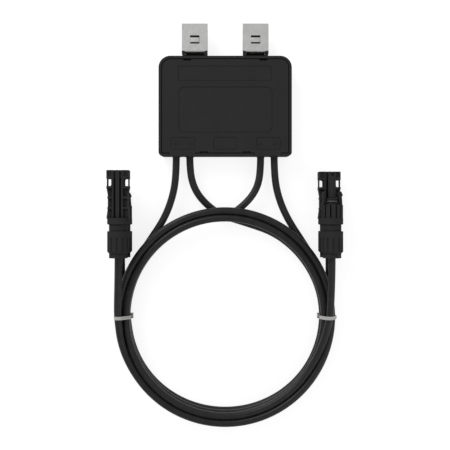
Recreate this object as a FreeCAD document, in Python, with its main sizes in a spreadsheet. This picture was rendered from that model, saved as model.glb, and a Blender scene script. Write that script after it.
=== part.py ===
import FreeCAD, Part
import math
import os
import Sketcher
from FreeCAD import Rotation, Vector

# Solar power optimizer: a potted converter box with two spring clips and four leads.
# It lies on its back. X is across the box, Y runs from the leads to the clips, Z is up
# out of the front. The origin is on the floor below the middle of box and clips.

DOC = FreeCAD.newDocument("PowerOptimizer")
SHEET = DOC.addObject("Spreadsheet::Sheet", "Sizes")
PARTS = []

# Driving dimensions, in millimetres unless the name says otherwise.
DIMENSIONS = {
    # Moulded box
    "box_width": 138.4,
    "box_length": 104.25,
    "box_depth": 22.9,
    "side_wall": 2.75,
    "wall_draft": 2.5,
    "floor_thickness": 2.2,
    "top_corner_radius": 12.2,
    "bottom_corner_radius": 4.5,
    "rim_rounding": 0.6,
    "back_rounding": 1.5,
    "ledge": 1.2,
    "post_radius": 3.0,
    "post_inset": 10.9,
    # Front lid
    "lid_thickness": 2.4,
    "lid_face": 1.1,
    "lid_clearance": 0.15,
    "groove": 0.8,
    "panel_depth": 0.35,
    "hook_width": 7.7,
    "hook_depth": 1.0,
    "hook_drop": 1.6,
    "hook_clearance": 0.3,
    "top_hook_place": 39.5,
    "bottom_hook_place": 22.1,
    # Where the leads leave the box
    "outer_lead_place": 51.4,
    "inner_lead_place": 37.3,
    "exit_width": 28.2,
    "exit_recess": 0.6,
    "tab_clearance": 0.3,
    "lead_height": 11.5,
    "lead_diameter": 7.6,
    "grommet_wall": 1.4,
    "grommet_lip": 0.8,
    "grommet_flange": 1.2,
    # Spring clips and the necks that carry them
    "clip_place": 31.9,
    "clip_width": 27.1,
    "clip_length": 31.05,
    "clip_steel": 0.9,
    "clip_gap": 4.6,
    "clip_lip": 1.9,
    "bend_width": 20.4,
    "neck_width": 23.8,
    "neck_height": 3.1,
    "neck_depth": 12.8,
    "neck_gap": 1.3,
    "neck_nib": 1.6,
    "ear_width": 2.9,
    "ear_rise": 2.9,
    "bar_clearance": 0.12,
    "cheek_width": 1.4,
    "cheek_depth": 2.4,
    "window_width": 9.8,
    "window_height": 8.6,
    "window_drop": 12.4,
    "bridge_height": 4.9,
    "bridge_rise": 1.3,
    # Circuit inside
    "board_thickness": 1.6,
    "board_margin": 4.9,
    "spreader_thickness": 2.0,
    "pad_thickness": 0.5,
    "transistor_height": 1.3,
    "transistor_width": 10.0,
    "spreader_edge": 4.0,
    "inductor_size": 32.0,
    "inductor_height": 9.0,
    "capacitor_height": 8.0,
    "capacitor_width": 7.0,
    "capacitor_length": 18.0,
    "terminal_width": 8.0,
    "terminal_length": 10.0,
    "terminal_setback": 3.4,
    "potting_level": 17.4,
    # Connectors, measured along their axis from the lower face of the flange
    "connector_place": 109.2,
    "connector_drop": 71.1,
    "connector_radius": 11.3,
    "flange_height": 6.8,
    "collar_radius": 9.5,
    "neck_length": 6.7,
    "thread_radius": 8.6,
    "thread_length": 15.5,
    "gland_bore": 7.0,
    "contact_radius": 3.0,
    "contact_clearance": 0.05,
    "contact_tail": 8.0,
    "shell_top": 55.4,
    "shell_width": 22.8,
    "shell_depth": 15.6,
    "shell_waist": 1.3,
    "window_bridge_depth": 5.0,
    "pin_radius": 2.0,
    "pin_top": 44.0,
    "tip_radius": 3.6,
    "tip_top": 49.6,
    "tip_wall": 0.8,
    "socket_radius": 2.05,
    "socket_length": 20.0,
    "ribbed_base_top": 20.1,
    "ring_seat_radius": 5.7,
    "ring_seat_top": 27.0,
    "ring_cord": 1.9,
    "ring_groove": 3.3,
    "arm_place": 8.6,
    "arm_thickness": 1.5,
    "arm_width": 8.0,
    "arm_top": 34.0,
    "nut_length": 20.8,
    "nut_plain": 6.6,
    "nut_chamfer": 2.0,
    "hex_radius": 9.5,
    "hex_length": 4.7,
    "running_gap": 0.25,
    # Ring of leads and its two ties
    "ring_centre": 237.15,
    "ring_radius": 114.6,
    "ring_height": 24.0,
    "tie_width": 3.5,
    "tie_thickness": 1.2,
    "tie_head": 5.4,
}


class Size:
    """A number together with the sheet expression that gives it."""

    def __init__(self, value, text):
        self.value = value
        self.text = text

    def joined(self, other, sign, value):
        return Size(value, "(" + self.text + sign + sized(other).text + ")")

    def __add__(self, other):
        return self.joined(other, " + ", self.value + sized(other).value)

    def __sub__(self, other):
        return self.joined(other, " - ", self.value - sized(other).value)

    def __mul__(self, other):
        return self.joined(other, " * ", self.value * sized(other).value)

    def __truediv__(self, other):
        return self.joined(other, " / ", self.value / sized(other).value)

    def __radd__(self, other):
        return sized(other) + self

    def __rsub__(self, other):
        return sized(other) - self

    def __rmul__(self, other):
        return sized(other) * self

    def __neg__(self):
        return Size(-self.value, "(0 - " + self.text + ")")


def sized(number):
    """A plain number as a Size."""
    if isinstance(number, Size):
        return number
    return Size(float(number), "(" + format(number, ".6f") + ")")


class Sizes:
    """The driving dimensions by name."""


def fill_sheet():
    """Write every driving dimension to the sheet and name it for use below."""
    for row, (name, value) in enumerate(DIMENSIONS.items(), start=1):
        SHEET.set("A%d" % row, name)
        SHEET.set("B%d" % row, str(value))
        SHEET.setAlias("B%d" % row, name)
        setattr(Sizes, name, Size(value, "Sizes." + name))
    DOC.recompute()


fill_sheet()
S = Sizes

# Lines across the box, worked out from the driving dimensions.
HALF_BOX = S.box_width / 2
CLIP_BOTTOM_RISE = S.neck_height + S.neck_gap
BOX_BOTTOM = -(S.box_length + CLIP_BOTTOM_RISE + S.clip_length) / 2
BOX_TOP = BOX_BOTTOM + S.box_length
NECK_TOP = BOX_TOP + S.neck_height
CLIP_BOTTOM = BOX_TOP + CLIP_BOTTOM_RISE
CLIP_TOP = CLIP_BOTTOM + S.clip_length
LEDGE_HEIGHT = S.box_depth - S.lid_thickness
LEAD_WALL = S.side_wall + S.ledge
LEAD_FACE = BOX_BOTTOM + LEAD_WALL
LEAD_RADIUS = S.lead_diameter / 2
MID_HEIGHT = S.lead_height
TERMINAL_FACE = LEAD_FACE + S.terminal_setback
EXIT_CENTRE = (S.outer_lead_place + S.inner_lead_place) / 2
BOARD_BOTTOM = S.floor_thickness + S.spreader_thickness + S.pad_thickness + S.transistor_height
BOARD_TOP = BOARD_BOTTOM + S.board_thickness
LOWER_AXIS = S.connector_radius
UPPER_AXIS = S.connector_radius * 3
CONNECTOR_LINE = BOX_BOTTOM - S.connector_drop


# Tools shared by the pieces

def bind(thing, place, size):
    """Tie one property of a feature to the sheet."""
    thing.setExpression(place, sized(size).text)


def plane_of(body, role):
    """The origin plane or axis of a body that has this role."""
    return [f for f in body.Origin.OriginFeatures if f.Role == role][0]


def new_body(label, x=0, y=0, z=0, turn=None):
    """An empty body at a place, turned if asked."""
    body = DOC.addObject("PartDesign::Body", label)
    body.Label = label
    if turn:
        body.Placement.Rotation = turn
    for axis, size in zip("xyz", (x, y, z)):
        bind(body, "Placement.Base." + axis, size)
    PARTS.append(body)
    return body


def sketch(body, name, height=0, plane="XY_Plane"):
    """An empty sketch on an origin plane of the body, raised by a height."""
    drawn = body.newObject("Sketcher::SketchObject", body.Name + "_" + name)
    drawn.AttachmentSupport = [(plane_of(body, plane), "")]
    drawn.MapMode = "FlatFace"
    bind(drawn, "AttachmentOffset.Base.z", height)
    return drawn


def hold_point(drawn, geometry, point, x, y):
    """Fix a point of the sketch at sizes from its origin."""
    for kind, size in (("DistanceX", sized(x)), ("DistanceY", sized(y))):
        if size.value == 0:
            axis = -2 if kind == "DistanceX" else -1
            drawn.addConstraint(Sketcher.Constraint("PointOnObject", geometry, point, axis))
        else:
            made = Sketcher.Constraint(kind, -1, 1, geometry, point, size.value)
            index = drawn.addConstraint(made)
            drawn.setExpression("Constraints[%d]" % index, size.text)


def one_way(number):
    """The sign of a number, zero when it is next to nothing."""
    return 0 if abs(number) < 1e-6 else math.copysign(1, number)


def tangent_points(before, corner, after):
    """Where the rounding of a square corner leaves the lines on both sides of it."""
    x, y, radius = (sized(number) for number in corner)
    ends = []
    for other in (before, after):
        step_x = one_way(sized(other[0]).value - x.value)
        step_y = one_way(sized(other[1]).value - y.value)
        ends.append((x + radius * step_x, y + radius * step_y))
    return ends


def polygon(drawn, corners):
    """A closed outline, counter-clockwise where a third number rounds a square corner."""
    count = len(corners)
    ends = []
    for index, corner in enumerate(corners):
        if len(corner) == 2:
            ends.append((corner, corner))
        else:
            before, after = corners[index - 1], corners[(index + 1) % count]
            ends.append(tangent_points(before, corner, after))
    first = drawn.GeometryCount
    flat = [[Vector(sized(x).value, sized(y).value, 0) for x, y in pair] for pair in ends]
    for index in range(count):
        line = Part.LineSegment(flat[index][1], flat[(index + 1) % count][0])
        drawn.addGeometry(line, False)
    for index, corner in enumerate(corners):
        line = first + index
        previous = first + (index - 1) % count
        hold_point(drawn, line, 1, *ends[index][1])
        if len(corner) == 2:
            drawn.addConstraint(Sketcher.Constraint("Coincident", previous, 2, line, 1))
        else:
            hold_point(drawn, previous, 2, *ends[index][0])
            round_corner(drawn, previous, line, flat[index], sized(corner[2]))


def round_corner(drawn, previous, line, ends, radius):
    """A quarter circle from the end of one line to the start of the next."""
    entry, leave = ends
    chord = leave - entry
    middle = (entry + leave) / 2 + Vector(-chord.y, chord.x, 0) / 2
    turn = math.atan2(entry.y - middle.y, entry.x - middle.x)
    ring = Part.Circle(middle, Vector(0, 0, 1), radius.value)
    arc = drawn.addGeometry(Part.ArcOfCircle(ring, turn, turn + math.pi / 2), False)
    drawn.addConstraint(Sketcher.Constraint("Coincident", previous, 2, arc, 1))
    drawn.addConstraint(Sketcher.Constraint("Coincident", line, 1, arc, 2))
    index = drawn.addConstraint(Sketcher.Constraint("Radius", arc, radius.value))
    drawn.setExpression("Constraints[%d]" % index, radius.text)


def rectangle(drawn, left, bottom, right, top, rounding=None):
    """A rectangle between two corners, its own corners rounded if asked."""
    corners = [(left, bottom), (right, bottom), (right, top), (left, top)]
    if rounding is not None:
        corners = [(x, y, rounding) for x, y in corners]
    polygon(drawn, corners)


def circle(drawn, x, y, radius):
    """A full circle."""
    middle = Vector(sized(x).value, sized(y).value, 0)
    ring = Part.Circle(middle, Vector(0, 0, 1), sized(radius).value)
    geometry = drawn.addGeometry(ring, False)
    index = drawn.addConstraint(Sketcher.Constraint("Radius", geometry, sized(radius).value))
    drawn.setExpression("Constraints[%d]" % index, sized(radius).text)
    hold_point(drawn, geometry, 3, x, y)


def extrude(body, kind, drawn, length=None, reverse=False, midplane=False, draft=None):
    """A pad or a pocket of a sketch, through everything when no length is given."""
    made = body.newObject("PartDesign::" + kind, drawn.Name + "_" + kind.lower())
    made.Profile = drawn
    made.Reversed = reverse
    made.Midplane = midplane
    if length is None:
        made.Type = "ThroughAll"
    else:
        bind(made, "Length", length)
    if draft is not None:
        bind(made, "TaperAngle", -draft)
    DOC.recompute()
    return made


def pad(body, drawn, length, **options):
    return extrude(body, "Pad", drawn, length, **options)


def pocket(body, drawn, length=None, **options):
    return extrude(body, "Pocket", drawn, length, **options)


def revolve(body, drawn):
    """A solid of revolution about the upright axis of the sketch."""
    made = body.newObject("PartDesign::Revolution", drawn.Name + "_turned")
    made.Profile = drawn
    made.ReferenceAxis = (drawn, ["V_Axis"])
    made.Angle = 360
    DOC.recompute()
    return made


def around(body, feature, count):
    """Copies of a feature spaced evenly about the upright axis of the body."""
    made = body.newObject("PartDesign::PolarPattern", feature.Name + "_around")
    made.Originals = [feature]
    made.Axis = (plane_of(body, "Z_Axis"), [""])
    made.Angle = 360
    made.Occurrences = count
    body.Tip = made
    DOC.recompute()
    return made


def dress(body, kind, feature, test, size):
    """A fillet or chamfer on every edge of a feature that passes the test."""
    names = ["Edge%d" % i for i, e in enumerate(feature.Shape.Edges, start=1) if test(e)]
    if not names:
        raise ValueError("no edge to dress on " + feature.Name)
    made = body.newObject("PartDesign::" + kind, feature.Name + "_" + kind.lower())
    made.Base = (feature, names)
    bind(made, "Radius" if kind == "Fillet" else "Size", size)
    DOC.recompute()
    return made


def is_line(edge):
    return edge.Curve.TypeId == "Part::GeomLine"


def runs_along(edge, axis):
    """Whether a straight edge points along an axis."""
    return is_line(edge) and abs(abs(edge.Curve.Direction.dot(axis)) - 1) < 1e-6


def lies_at(edge, height):
    """Whether an edge stays at one height."""
    box = edge.BoundBox
    return abs(box.ZMin - height) < 1e-4 and abs(box.ZMax - height) < 1e-4


def solid(kind, name, place=(0, 0, 0), turn=None, **sizes):
    """A primitive solid with its sizes and place tied to the sheet."""
    made = DOC.addObject("Part::" + kind, name)
    if turn:
        made.Placement.Rotation = turn
    for axis, size in zip("xyz", place):
        bind(made, "Placement.Base." + axis, size)
    for item, size in sizes.items():
        bind(made, item, size)
    return made


def block(name, low, high):
    """A box between two corners."""
    spans = [sized(b) - a for a, b in zip(low, high)]
    return solid("Box", name, low, Length=spans[0], Width=spans[1], Height=spans[2])


def joined(kind, name, pieces):
    """A fuse or compound of several solids."""
    made = DOC.addObject("Part::" + kind, name)
    if kind == "Compound":
        made.Links = pieces
    else:
        made.Shapes = pieces
    return made


def cut(name, base, tool):
    made = DOC.addObject("Part::Cut", name)
    made.Base = base
    made.Tool = tool
    return made


def keep(made, label):
    """Name a finished piece and list it for writing."""
    made.Label = label
    PARTS.append(made)
    DOC.recompute()
    return made


# Moulded box

def exit_span(side):
    """Left and right edge of the recess that a pair of leads leaves through."""
    middle = EXIT_CENTRE * side
    return middle - S.exit_width / 2, middle + S.exit_width / 2


def hook_spots():
    """Middle of each snap hook, and the direction that points into the box."""
    for side in (-1, 1):
        yield S.top_hook_place * side, BOX_TOP - S.side_wall, -1
        yield S.bottom_hook_place * side, BOX_BOTTOM + S.side_wall, 1


def housing_body():
    """One moulding: tray, rim, lead wall, board posts, snap hooks, necks and clip bars."""
    body = new_body("housing_body")
    outline = sketch(body, "outline", S.box_depth)
    side = HALF_BOX
    polygon(outline, [
        (-side, BOX_BOTTOM, S.bottom_corner_radius), (side, BOX_BOTTOM, S.bottom_corner_radius),
        (side, BOX_TOP, S.top_corner_radius), (-side, BOX_TOP, S.top_corner_radius),
    ])
    tray = pad(body, outline, S.box_depth, reverse=True, draft=S.wall_draft)
    tray = dress(body, "Fillet", tray, lambda e: lies_at(e, S.box_depth.value), S.rim_rounding)
    dress(body, "Fillet", tray, lambda e: lies_at(e, 0), S.back_rounding)
    hollow(body, "lid_seat", S.side_wall, S.lid_thickness)
    hollow(body, "well", S.side_wall + S.ledge, S.box_depth - S.floor_thickness)

    exits = sketch(body, "lead_exits")
    rims = sketch(body, "lead_rims", S.box_depth)
    for side in (-1, 1):
        left, right = exit_span(side)
        rectangle(exits, left, BOX_BOTTOM - 1, right, BOX_BOTTOM + S.exit_recess)
        rectangle(rims, left, BOX_BOTTOM - 1, right, BOX_BOTTOM + S.side_wall + 0.5)
    pocket(body, exits, S.box_depth, reverse=True)
    pocket(body, rims, S.lid_thickness)
    holes = sketch(body, "grommet_holes", -LEAD_FACE, "XZ_Plane")
    for place in (S.outer_lead_place, S.inner_lead_place):
        for side in (-1, 1):
            circle(holes, place * side, S.lead_height, LEAD_RADIUS + S.grommet_wall)
    pocket(body, holes, LEAD_WALL, reverse=True)

    posts = sketch(body, "board_posts", S.floor_thickness - 0.5)
    for side in (-1, 1):
        across = (HALF_BOX - S.post_inset) * side
        circle(posts, across, BOX_BOTTOM + S.post_inset + 2, S.post_radius)
        circle(posts, across, BOX_TOP - S.post_inset, S.post_radius)
    pad(body, posts, BOARD_BOTTOM - S.floor_thickness + 0.5)
    hooks = sketch(body, "snap_hooks", BOARD_TOP)
    for middle, wall, inward in hook_spots():
        half = S.hook_width / 2
        near = wall - 0.3 * inward
        far = wall + S.hook_depth * inward
        low, high = (near, far) if inward > 0 else (far, near)
        rectangle(hooks, middle - half, low, middle + half, high)
    pad(body, hooks, S.box_depth - S.hook_drop - BOARD_TOP)
    housing_necks(body)
    return body


def hollow(body, name, wall, depth):
    """Sink a pocket from the front that leaves a wall of one thickness."""
    drawn = sketch(body, name, S.box_depth)
    side = HALF_BOX - wall
    top = BOX_TOP - wall
    corner = S.top_corner_radius - wall
    low = BOX_BOTTOM + wall
    polygon(drawn, [
        (-side, low), (side, low), (side, top, corner), (-side, top, corner),
    ])
    return pocket(body, drawn, depth)


def housing_necks(body):
    """The two necks: a block with ears, and the bar that the clip is bent round."""
    low = MID_HEIGHT - S.neck_depth / 2
    blocks = sketch(body, "necks", low)
    ears = sketch(body, "ears", low)
    rooms = sketch(body, "clip_rooms", MID_HEIGHT)
    cheeks = sketch(body, "cheeks", MID_HEIGHT)
    nibs = sketch(body, "nibs", MID_HEIGHT)
    troughs = sketch(body, "troughs", MID_HEIGHT + S.neck_depth / 2)
    bend = S.bend_width / 2
    ear_in = bend + S.running_gap
    ear_out = ear_in + S.ear_width
    bar_line = CLIP_BOTTOM + S.clip_steel + S.clip_gap / 2
    bar_radius = S.clip_gap / 2 - S.bar_clearance
    half = S.neck_width / 2
    slope = CLIP_BOTTOM - S.running_gap * 1.5
    for mid in (-S.clip_place, S.clip_place + 0):
        polygon(blocks, [
            (mid - half - 1.5, BOX_TOP - 0.5), (mid + half + 1.5, BOX_TOP - 0.5),
            (mid + half, BOX_TOP + 1.3), (mid + half, NECK_TOP),
            (mid - half, NECK_TOP), (mid - half, BOX_TOP + 1.3),
        ])
        for side in (-1, 1):
            polygon(ears, [
                (mid + ear_in * side, NECK_TOP - 0.4), (mid + half * side, NECK_TOP - 2.0),
                (mid + ear_out * side, NECK_TOP + 0.3),
                (mid + ear_out * side, NECK_TOP + S.ear_rise),
                (mid + ear_in * side, NECK_TOP + S.ear_rise),
            ])
            polygon(rooms, [
                (mid + bend * side, slope), (mid + (bend + 6) * side, slope + 6),
                (mid + bend * side, slope + 6),
            ])
            near, far = mid + (ear_out - S.cheek_width) * side, mid + ear_out * side
            left, right = (near, far) if side > 0 else (far, near)
            rectangle(cheeks, left, NECK_TOP, right, bar_line + bar_radius * 0.5)
        nib = S.neck_nib / 2
        rectangle(nibs, mid - nib, BOX_TOP - 0.5, mid + nib, BOX_TOP + 1.2)
        rectangle(troughs, mid - ear_in, BOX_TOP + 0, mid + ear_in, NECK_TOP + 0.5)
    pad(body, blocks, S.neck_depth)
    pad(body, ears, S.neck_depth)
    pocket(body, troughs, S.neck_depth - 3.5)
    pocket(body, rooms, S.clip_gap + S.clip_steel * 2 + 0.4, midplane=True)
    pad(body, cheeks, S.cheek_depth, midplane=True)
    pad(body, nibs, S.neck_depth - 3, midplane=True)
    bars = sketch(body, "clip_bars", 0, "YZ_Plane")
    circle(bars, bar_line, MID_HEIGHT, bar_radius)
    pad(body, bars, (S.clip_place + ear_out) * 2, midplane=True)
    gap = sketch(body, "bar_gap", MID_HEIGHT)
    reach = S.clip_place - ear_out
    rectangle(gap, -reach, BOX_TOP + 0.5, reach, bar_line + S.clip_gap)
    pocket(body, gap, S.clip_gap * 2, midplane=True)


# Front lid

def lid_outline(drawn, inset):
    """Outline of the lid with its two tabs over the leads, drawn in by an inset."""
    corner = S.top_corner_radius - S.side_wall - inset
    side = HALF_BOX - S.side_wall - S.lid_clearance - inset
    top = BOX_TOP - S.side_wall - S.lid_clearance - inset
    bottom = BOX_BOTTOM + S.side_wall + S.lid_clearance + inset
    tab = BOX_BOTTOM + S.exit_recess
    left_in, left_out = exit_span(-1)
    right_in, right_out = exit_span(1)
    gap = S.tab_clearance
    polygon(drawn, [
        (-side, bottom), (left_in + gap, bottom), (left_in + gap, tab), (left_out - gap, tab),
        (left_out - gap, bottom), (right_in + gap, bottom), (right_in + gap, tab),
        (right_out - gap, tab), (right_out - gap, bottom), (side, bottom),
        (side, top, corner), (-side, top, corner),
    ])


def lid_panels(drawn):
    """The shallow panels on the face: a bar, a wide field and three small fields."""
    rectangle(drawn, -48.8, BOX_TOP - 25.9, 47.8, BOX_TOP - 10.6, 1.0)
    rectangle(drawn, -48.3, BOX_TOP - 79.7, 48.8, BOX_TOP - 32.3, 6.0)
    for left, right in ((-56.7, -31.4), (-12.3, 12.4), (32.0, 57.3)):
        rectangle(drawn, left, BOX_BOTTOM + 6.9, right, BOX_BOTTOM + 19.7, 2.4)


def front_lid():
    """Snap-in lid: a flange that rests on the ledge and a face inset by the groove."""
    body = new_body("front_lid")
    flange = sketch(body, "flange", LEDGE_HEIGHT)
    lid_outline(flange, 0)
    pad(body, flange, S.lid_thickness - S.lid_face)
    face = sketch(body, "face", S.box_depth - S.lid_face - 0.2)
    lid_outline(face, S.groove)
    pad(body, face, S.lid_face + 0.2)
    slots = sketch(body, "hook_slots", S.box_depth)
    for middle, wall, inward in hook_spots():
        half = S.hook_width / 2 + S.hook_clearance
        near = wall - 0.5 * inward
        far = wall + (S.hook_depth + S.hook_clearance + 0.25) * inward
        low, high = (near, far) if inward > 0 else (far, near)
        rectangle(slots, middle - half, low, middle + half, high)
    pocket(body, slots, S.lid_thickness + 1)
    panels = sketch(body, "panels", S.box_depth)
    lid_panels(panels)
    pocket(body, panels, S.panel_depth)
    return body


# Spring clips

def spring_clip(label, side):
    """Hairpin of spring steel, bent round the bar of its neck, with a lanced bridge."""
    body = new_body(label, x=S.clip_place * side)
    front = MID_HEIGHT + S.clip_gap / 2
    back = MID_HEIGHT - S.clip_gap / 2
    steel = S.clip_steel
    lip_start = CLIP_TOP - 10
    lip_end = CLIP_TOP - 4.5
    profile = sketch(body, "profile", 0, "YZ_Plane")
    polygon(profile, [
        (CLIP_TOP, front + steel), (CLIP_BOTTOM, front + steel), (CLIP_BOTTOM, back - steel),
        (lip_start, back - steel), (lip_end, back - steel - S.clip_lip),
        (lip_end, back - S.clip_lip), (lip_start, back),
        (CLIP_BOTTOM + steel, back), (CLIP_BOTTOM + steel, front), (CLIP_TOP, front),
    ])
    hairpin = pad(body, profile, S.clip_width, midplane=True)

    def bend_edge(line):
        def test(edge):
            across = runs_along(edge, Vector(1, 0, 0))
            return across and abs(edge.CenterOfMass.y - line.value) < 1e-4
        return test

    outer = S.clip_gap / 2 + steel - 0.03
    hairpin = dress(body, "Fillet", hairpin, bend_edge(CLIP_BOTTOM), outer)
    hairpin = dress(body, "Fillet", hairpin, bend_edge(CLIP_BOTTOM + steel), outer - steel)
    corners = sketch(body, "bend_corners")
    bend = S.bend_width / 2
    spare = S.clip_width / 2 - bend + 1
    for way in (-1, 1):
        polygon(corners, [
            (bend * way, CLIP_BOTTOM - 1), ((bend + spare) * way, CLIP_BOTTOM - 1),
            ((bend + spare) * way, CLIP_BOTTOM + spare), (bend * way, CLIP_BOTTOM),
        ])
    pocket(body, corners, S.box_depth, reverse=True)
    opening = sketch(body, "window", front - 0.5)
    window_top = CLIP_TOP - S.window_drop
    rectangle(opening, -S.window_width / 2, window_top - S.window_height,
              S.window_width / 2, window_top)
    pocket(body, opening, steel + 1, reverse=True)
    bridge = sketch(body, "bridge", -(window_top - S.window_height / 2), "XZ_Plane")
    edge = S.window_width / 2 + 0.2
    flat = S.window_width / 2 - 1.3
    polygon(bridge, [
        (-edge, front), (-flat - 0.3, front), (-flat, front + S.bridge_rise),
        (flat, front + S.bridge_rise), (flat + 0.3, front), (edge, front),
        (edge, front + steel), (flat + 0.3, front + steel + S.bridge_rise),
        (-flat - 0.3, front + steel + S.bridge_rise), (-edge, front + steel),
    ])
    pad(body, bridge, S.bridge_height, midplane=True)
    return body


# Circuit inside the box

def circuit():
    """Board, heat path and components; every piece of it ends up in the potting."""
    inner = HALF_BOX - S.side_wall
    board_side = inner - S.board_margin
    board_low = LEAD_FACE + S.board_margin / 2
    board_high = BOX_TOP - S.side_wall - S.board_margin / 2 - 1.0
    pieces = []
    board = block("board", (-board_side, board_low, BOARD_BOTTOM), (board_side, board_high, BOARD_TOP))
    pieces.append(keep(board, "circuit_board"))
    floor = S.floor_thickness
    spreader_top = floor + S.spreader_thickness
    pad_top = spreader_top + S.pad_thickness
    wide = board_side * 0.56
    low, high = board_low * 0.6, board_high * 0.46
    edge = S.spreader_edge
    spreader = block("spreader", (-wide, low, floor), (wide, high, spreader_top))
    pieces.append(keep(spreader, "heat_spreader"))
    sheet = block("pad", (-wide + edge, low + edge, spreader_top), (wide - edge, high - edge, pad_top))
    pieces.append(keep(sheet, "thermal_pad"))
    pitch = S.transistor_width * 1.5
    transistors = []
    for index in range(4):
        left = pitch * (index - 2) + (pitch - S.transistor_width) / 2
        transistors.append(block("transistor_%d" % index,
                                 (left, low + S.transistor_width * 1.8, pad_top),
                                 (left + S.transistor_width, low + S.transistor_width * 3, BOARD_BOTTOM)))
    pieces.append(keep(joined("Compound", "transistors", transistors), "power_transistors"))
    pieces += inductor()
    pieces += capacitor_rows()
    chip = block("chip", (30, -20, BOARD_TOP), (42, -8, BOARD_TOP + 1.4))
    pieces.append(keep(chip, "controller_chip"))
    pieces.append(keep(signal_transformer(), "signal_transformer"))
    pieces.append(keep(lead_terminals(), "lead_terminals"))
    return pieces


def inductor():
    """Ferrite pot with an open side and the copper winding round its middle leg."""
    half = S.inductor_size / 2
    low = BOARD_TOP
    high = BOARD_TOP + S.inductor_height
    outer = block("core_outer", (-half, -half, low), (half, half, high))
    slot = block("core_slot", (-half + 3, -half - 1, low + 2), (half - 3, half + 1, high - 2))
    leg = solid("Cylinder", "core_leg", (0, 0, low), Radius=half * 0.38, Height=S.inductor_height)
    core = joined("MultiFuse", "core", [cut("core_shell", outer, slot), leg])
    keep(core, "inductor_core")
    tall = S.inductor_height - 4.6
    wound = solid("Cylinder", "coil_outer", (0, 0, low + 2.3), Radius=half * 0.78, Height=tall)
    inside = solid("Cylinder", "coil_inner", (0, 0, low + 1), Radius=half * 0.38,
                   Height=S.inductor_height)
    winding = keep(cut("coil", wound, inside), "inductor_winding")
    return [core, winding]


def capacitor_rows():
    """Film capacitors in two rows, one for each side of the converter."""
    rows = []
    for label, side in (("input_capacitors", -1), ("output_capacitors", 1)):
        cans = []
        for index in range(3):
            left = S.inductor_size * 0.5 * side + (8 + 9 * index) * side
            low_x = left if side > 0 else left - S.capacitor_width
            can = block("%s_%d" % (label, index),
                        (low_x, 8, BOARD_TOP),
                        (low_x + S.capacitor_width, 8 + S.capacitor_length,
                         BOARD_TOP + S.capacitor_height))
            cans.append(can)
        rows.append(keep(joined("Compound", label + "_row", cans), label))
    return rows


def signal_transformer():
    """Small ferrite ring that couples the control signal into the leads."""
    ring = solid("Cylinder", "signal_ring", (-36, -14, BOARD_TOP), Radius=7, Height=6)
    hole = solid("Cylinder", "signal_hole", (-36, -14, BOARD_TOP - 1), Radius=3.4, Height=8)
    return cut("signal_core", ring, hole)


def lead_terminals():
    """Plated blocks on the board that the conductors are crimped to."""
    blocks = []
    for place in (S.outer_lead_place, S.inner_lead_place):
        for side in (-1, 1):
            middle = place * side
            half = S.terminal_width / 2
            low = (middle - half, TERMINAL_FACE, BOARD_TOP)
            high = (middle + half, TERMINAL_FACE + S.terminal_length, S.lead_height + half)
            blocks.append(block("terminal_%d" % len(blocks), low, high))
    return joined("Compound", "terminals", blocks)


def lead_grommet(label, place):
    """Rubber bush round a lead where it passes the wall, seen as a thin lip outside."""
    body = new_body(label, x=place, y=LEAD_FACE, z=S.lead_height,
                    turn=Rotation(Vector(1, 0, 0), -90))
    outside = -(LEAD_WALL - S.exit_recess)
    bore = LEAD_RADIUS
    wall = LEAD_RADIUS + S.grommet_wall
    profile = sketch(body, "profile", 0, "XZ_Plane")
    polygon(profile, [
        (bore, outside - S.grommet_lip), (bore + 0.7, outside - S.grommet_lip),
        (wall, outside), (wall, 0), (wall + 1.0, 0), (wall + 1.0, S.grommet_flange),
        (bore, S.grommet_flange),
    ])
    revolve(body, profile)
    return body


def potting(inside):
    """Silicone that fills the box round everything that stands in it."""
    fill = new_body("fill")
    PARTS.remove(fill)
    poured = sketch(fill, "outline", S.floor_thickness)
    side = HALF_BOX - LEAD_WALL
    top = BOX_TOP - LEAD_WALL
    corner = S.top_corner_radius - LEAD_WALL
    polygon(poured, [
        (-side, LEAD_FACE), (side, LEAD_FACE), (side, top, corner), (-side, top, corner),
    ])
    pad(fill, poured, S.potting_level - S.floor_thickness)
    tools = joined("MultiFuse", "potted_pieces", inside)
    return keep(cut("poured", fill, tools), "potting_compound")


# Connectors: local Z runs along the axis to the mating end, local Y down to the back

UPRIGHT_TO_Y = Rotation(Vector(1, 0, 0), -90)


def connector_body(label, place):
    """A body with its axis along Y at one of the four connectors."""
    x, z = place
    return new_body(label, x=x, y=CONNECTOR_LINE, z=z, turn=UPRIGHT_TO_Y)


def threaded_end(body):
    """Flange, neck and the thread that the cap nut turns on, bored for the gland."""
    profile = sketch(body, "threaded_end", 0, "XZ_Plane")
    bottom = -(S.neck_length + S.thread_length)
    rim = S.connector_radius
    polygon(profile, [
        (S.gland_bore, bottom), (S.thread_radius, bottom), (S.thread_radius, -S.neck_length),
        (S.collar_radius, -S.neck_length), (S.collar_radius, 0), (rim, 0.5),
        (rim, S.flange_height), (S.contact_radius + S.contact_clearance, S.flange_height),
        (S.contact_radius + S.contact_clearance, -S.contact_tail),
        (S.gland_bore, -S.contact_tail),
    ])
    return revolve(body, profile)


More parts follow.
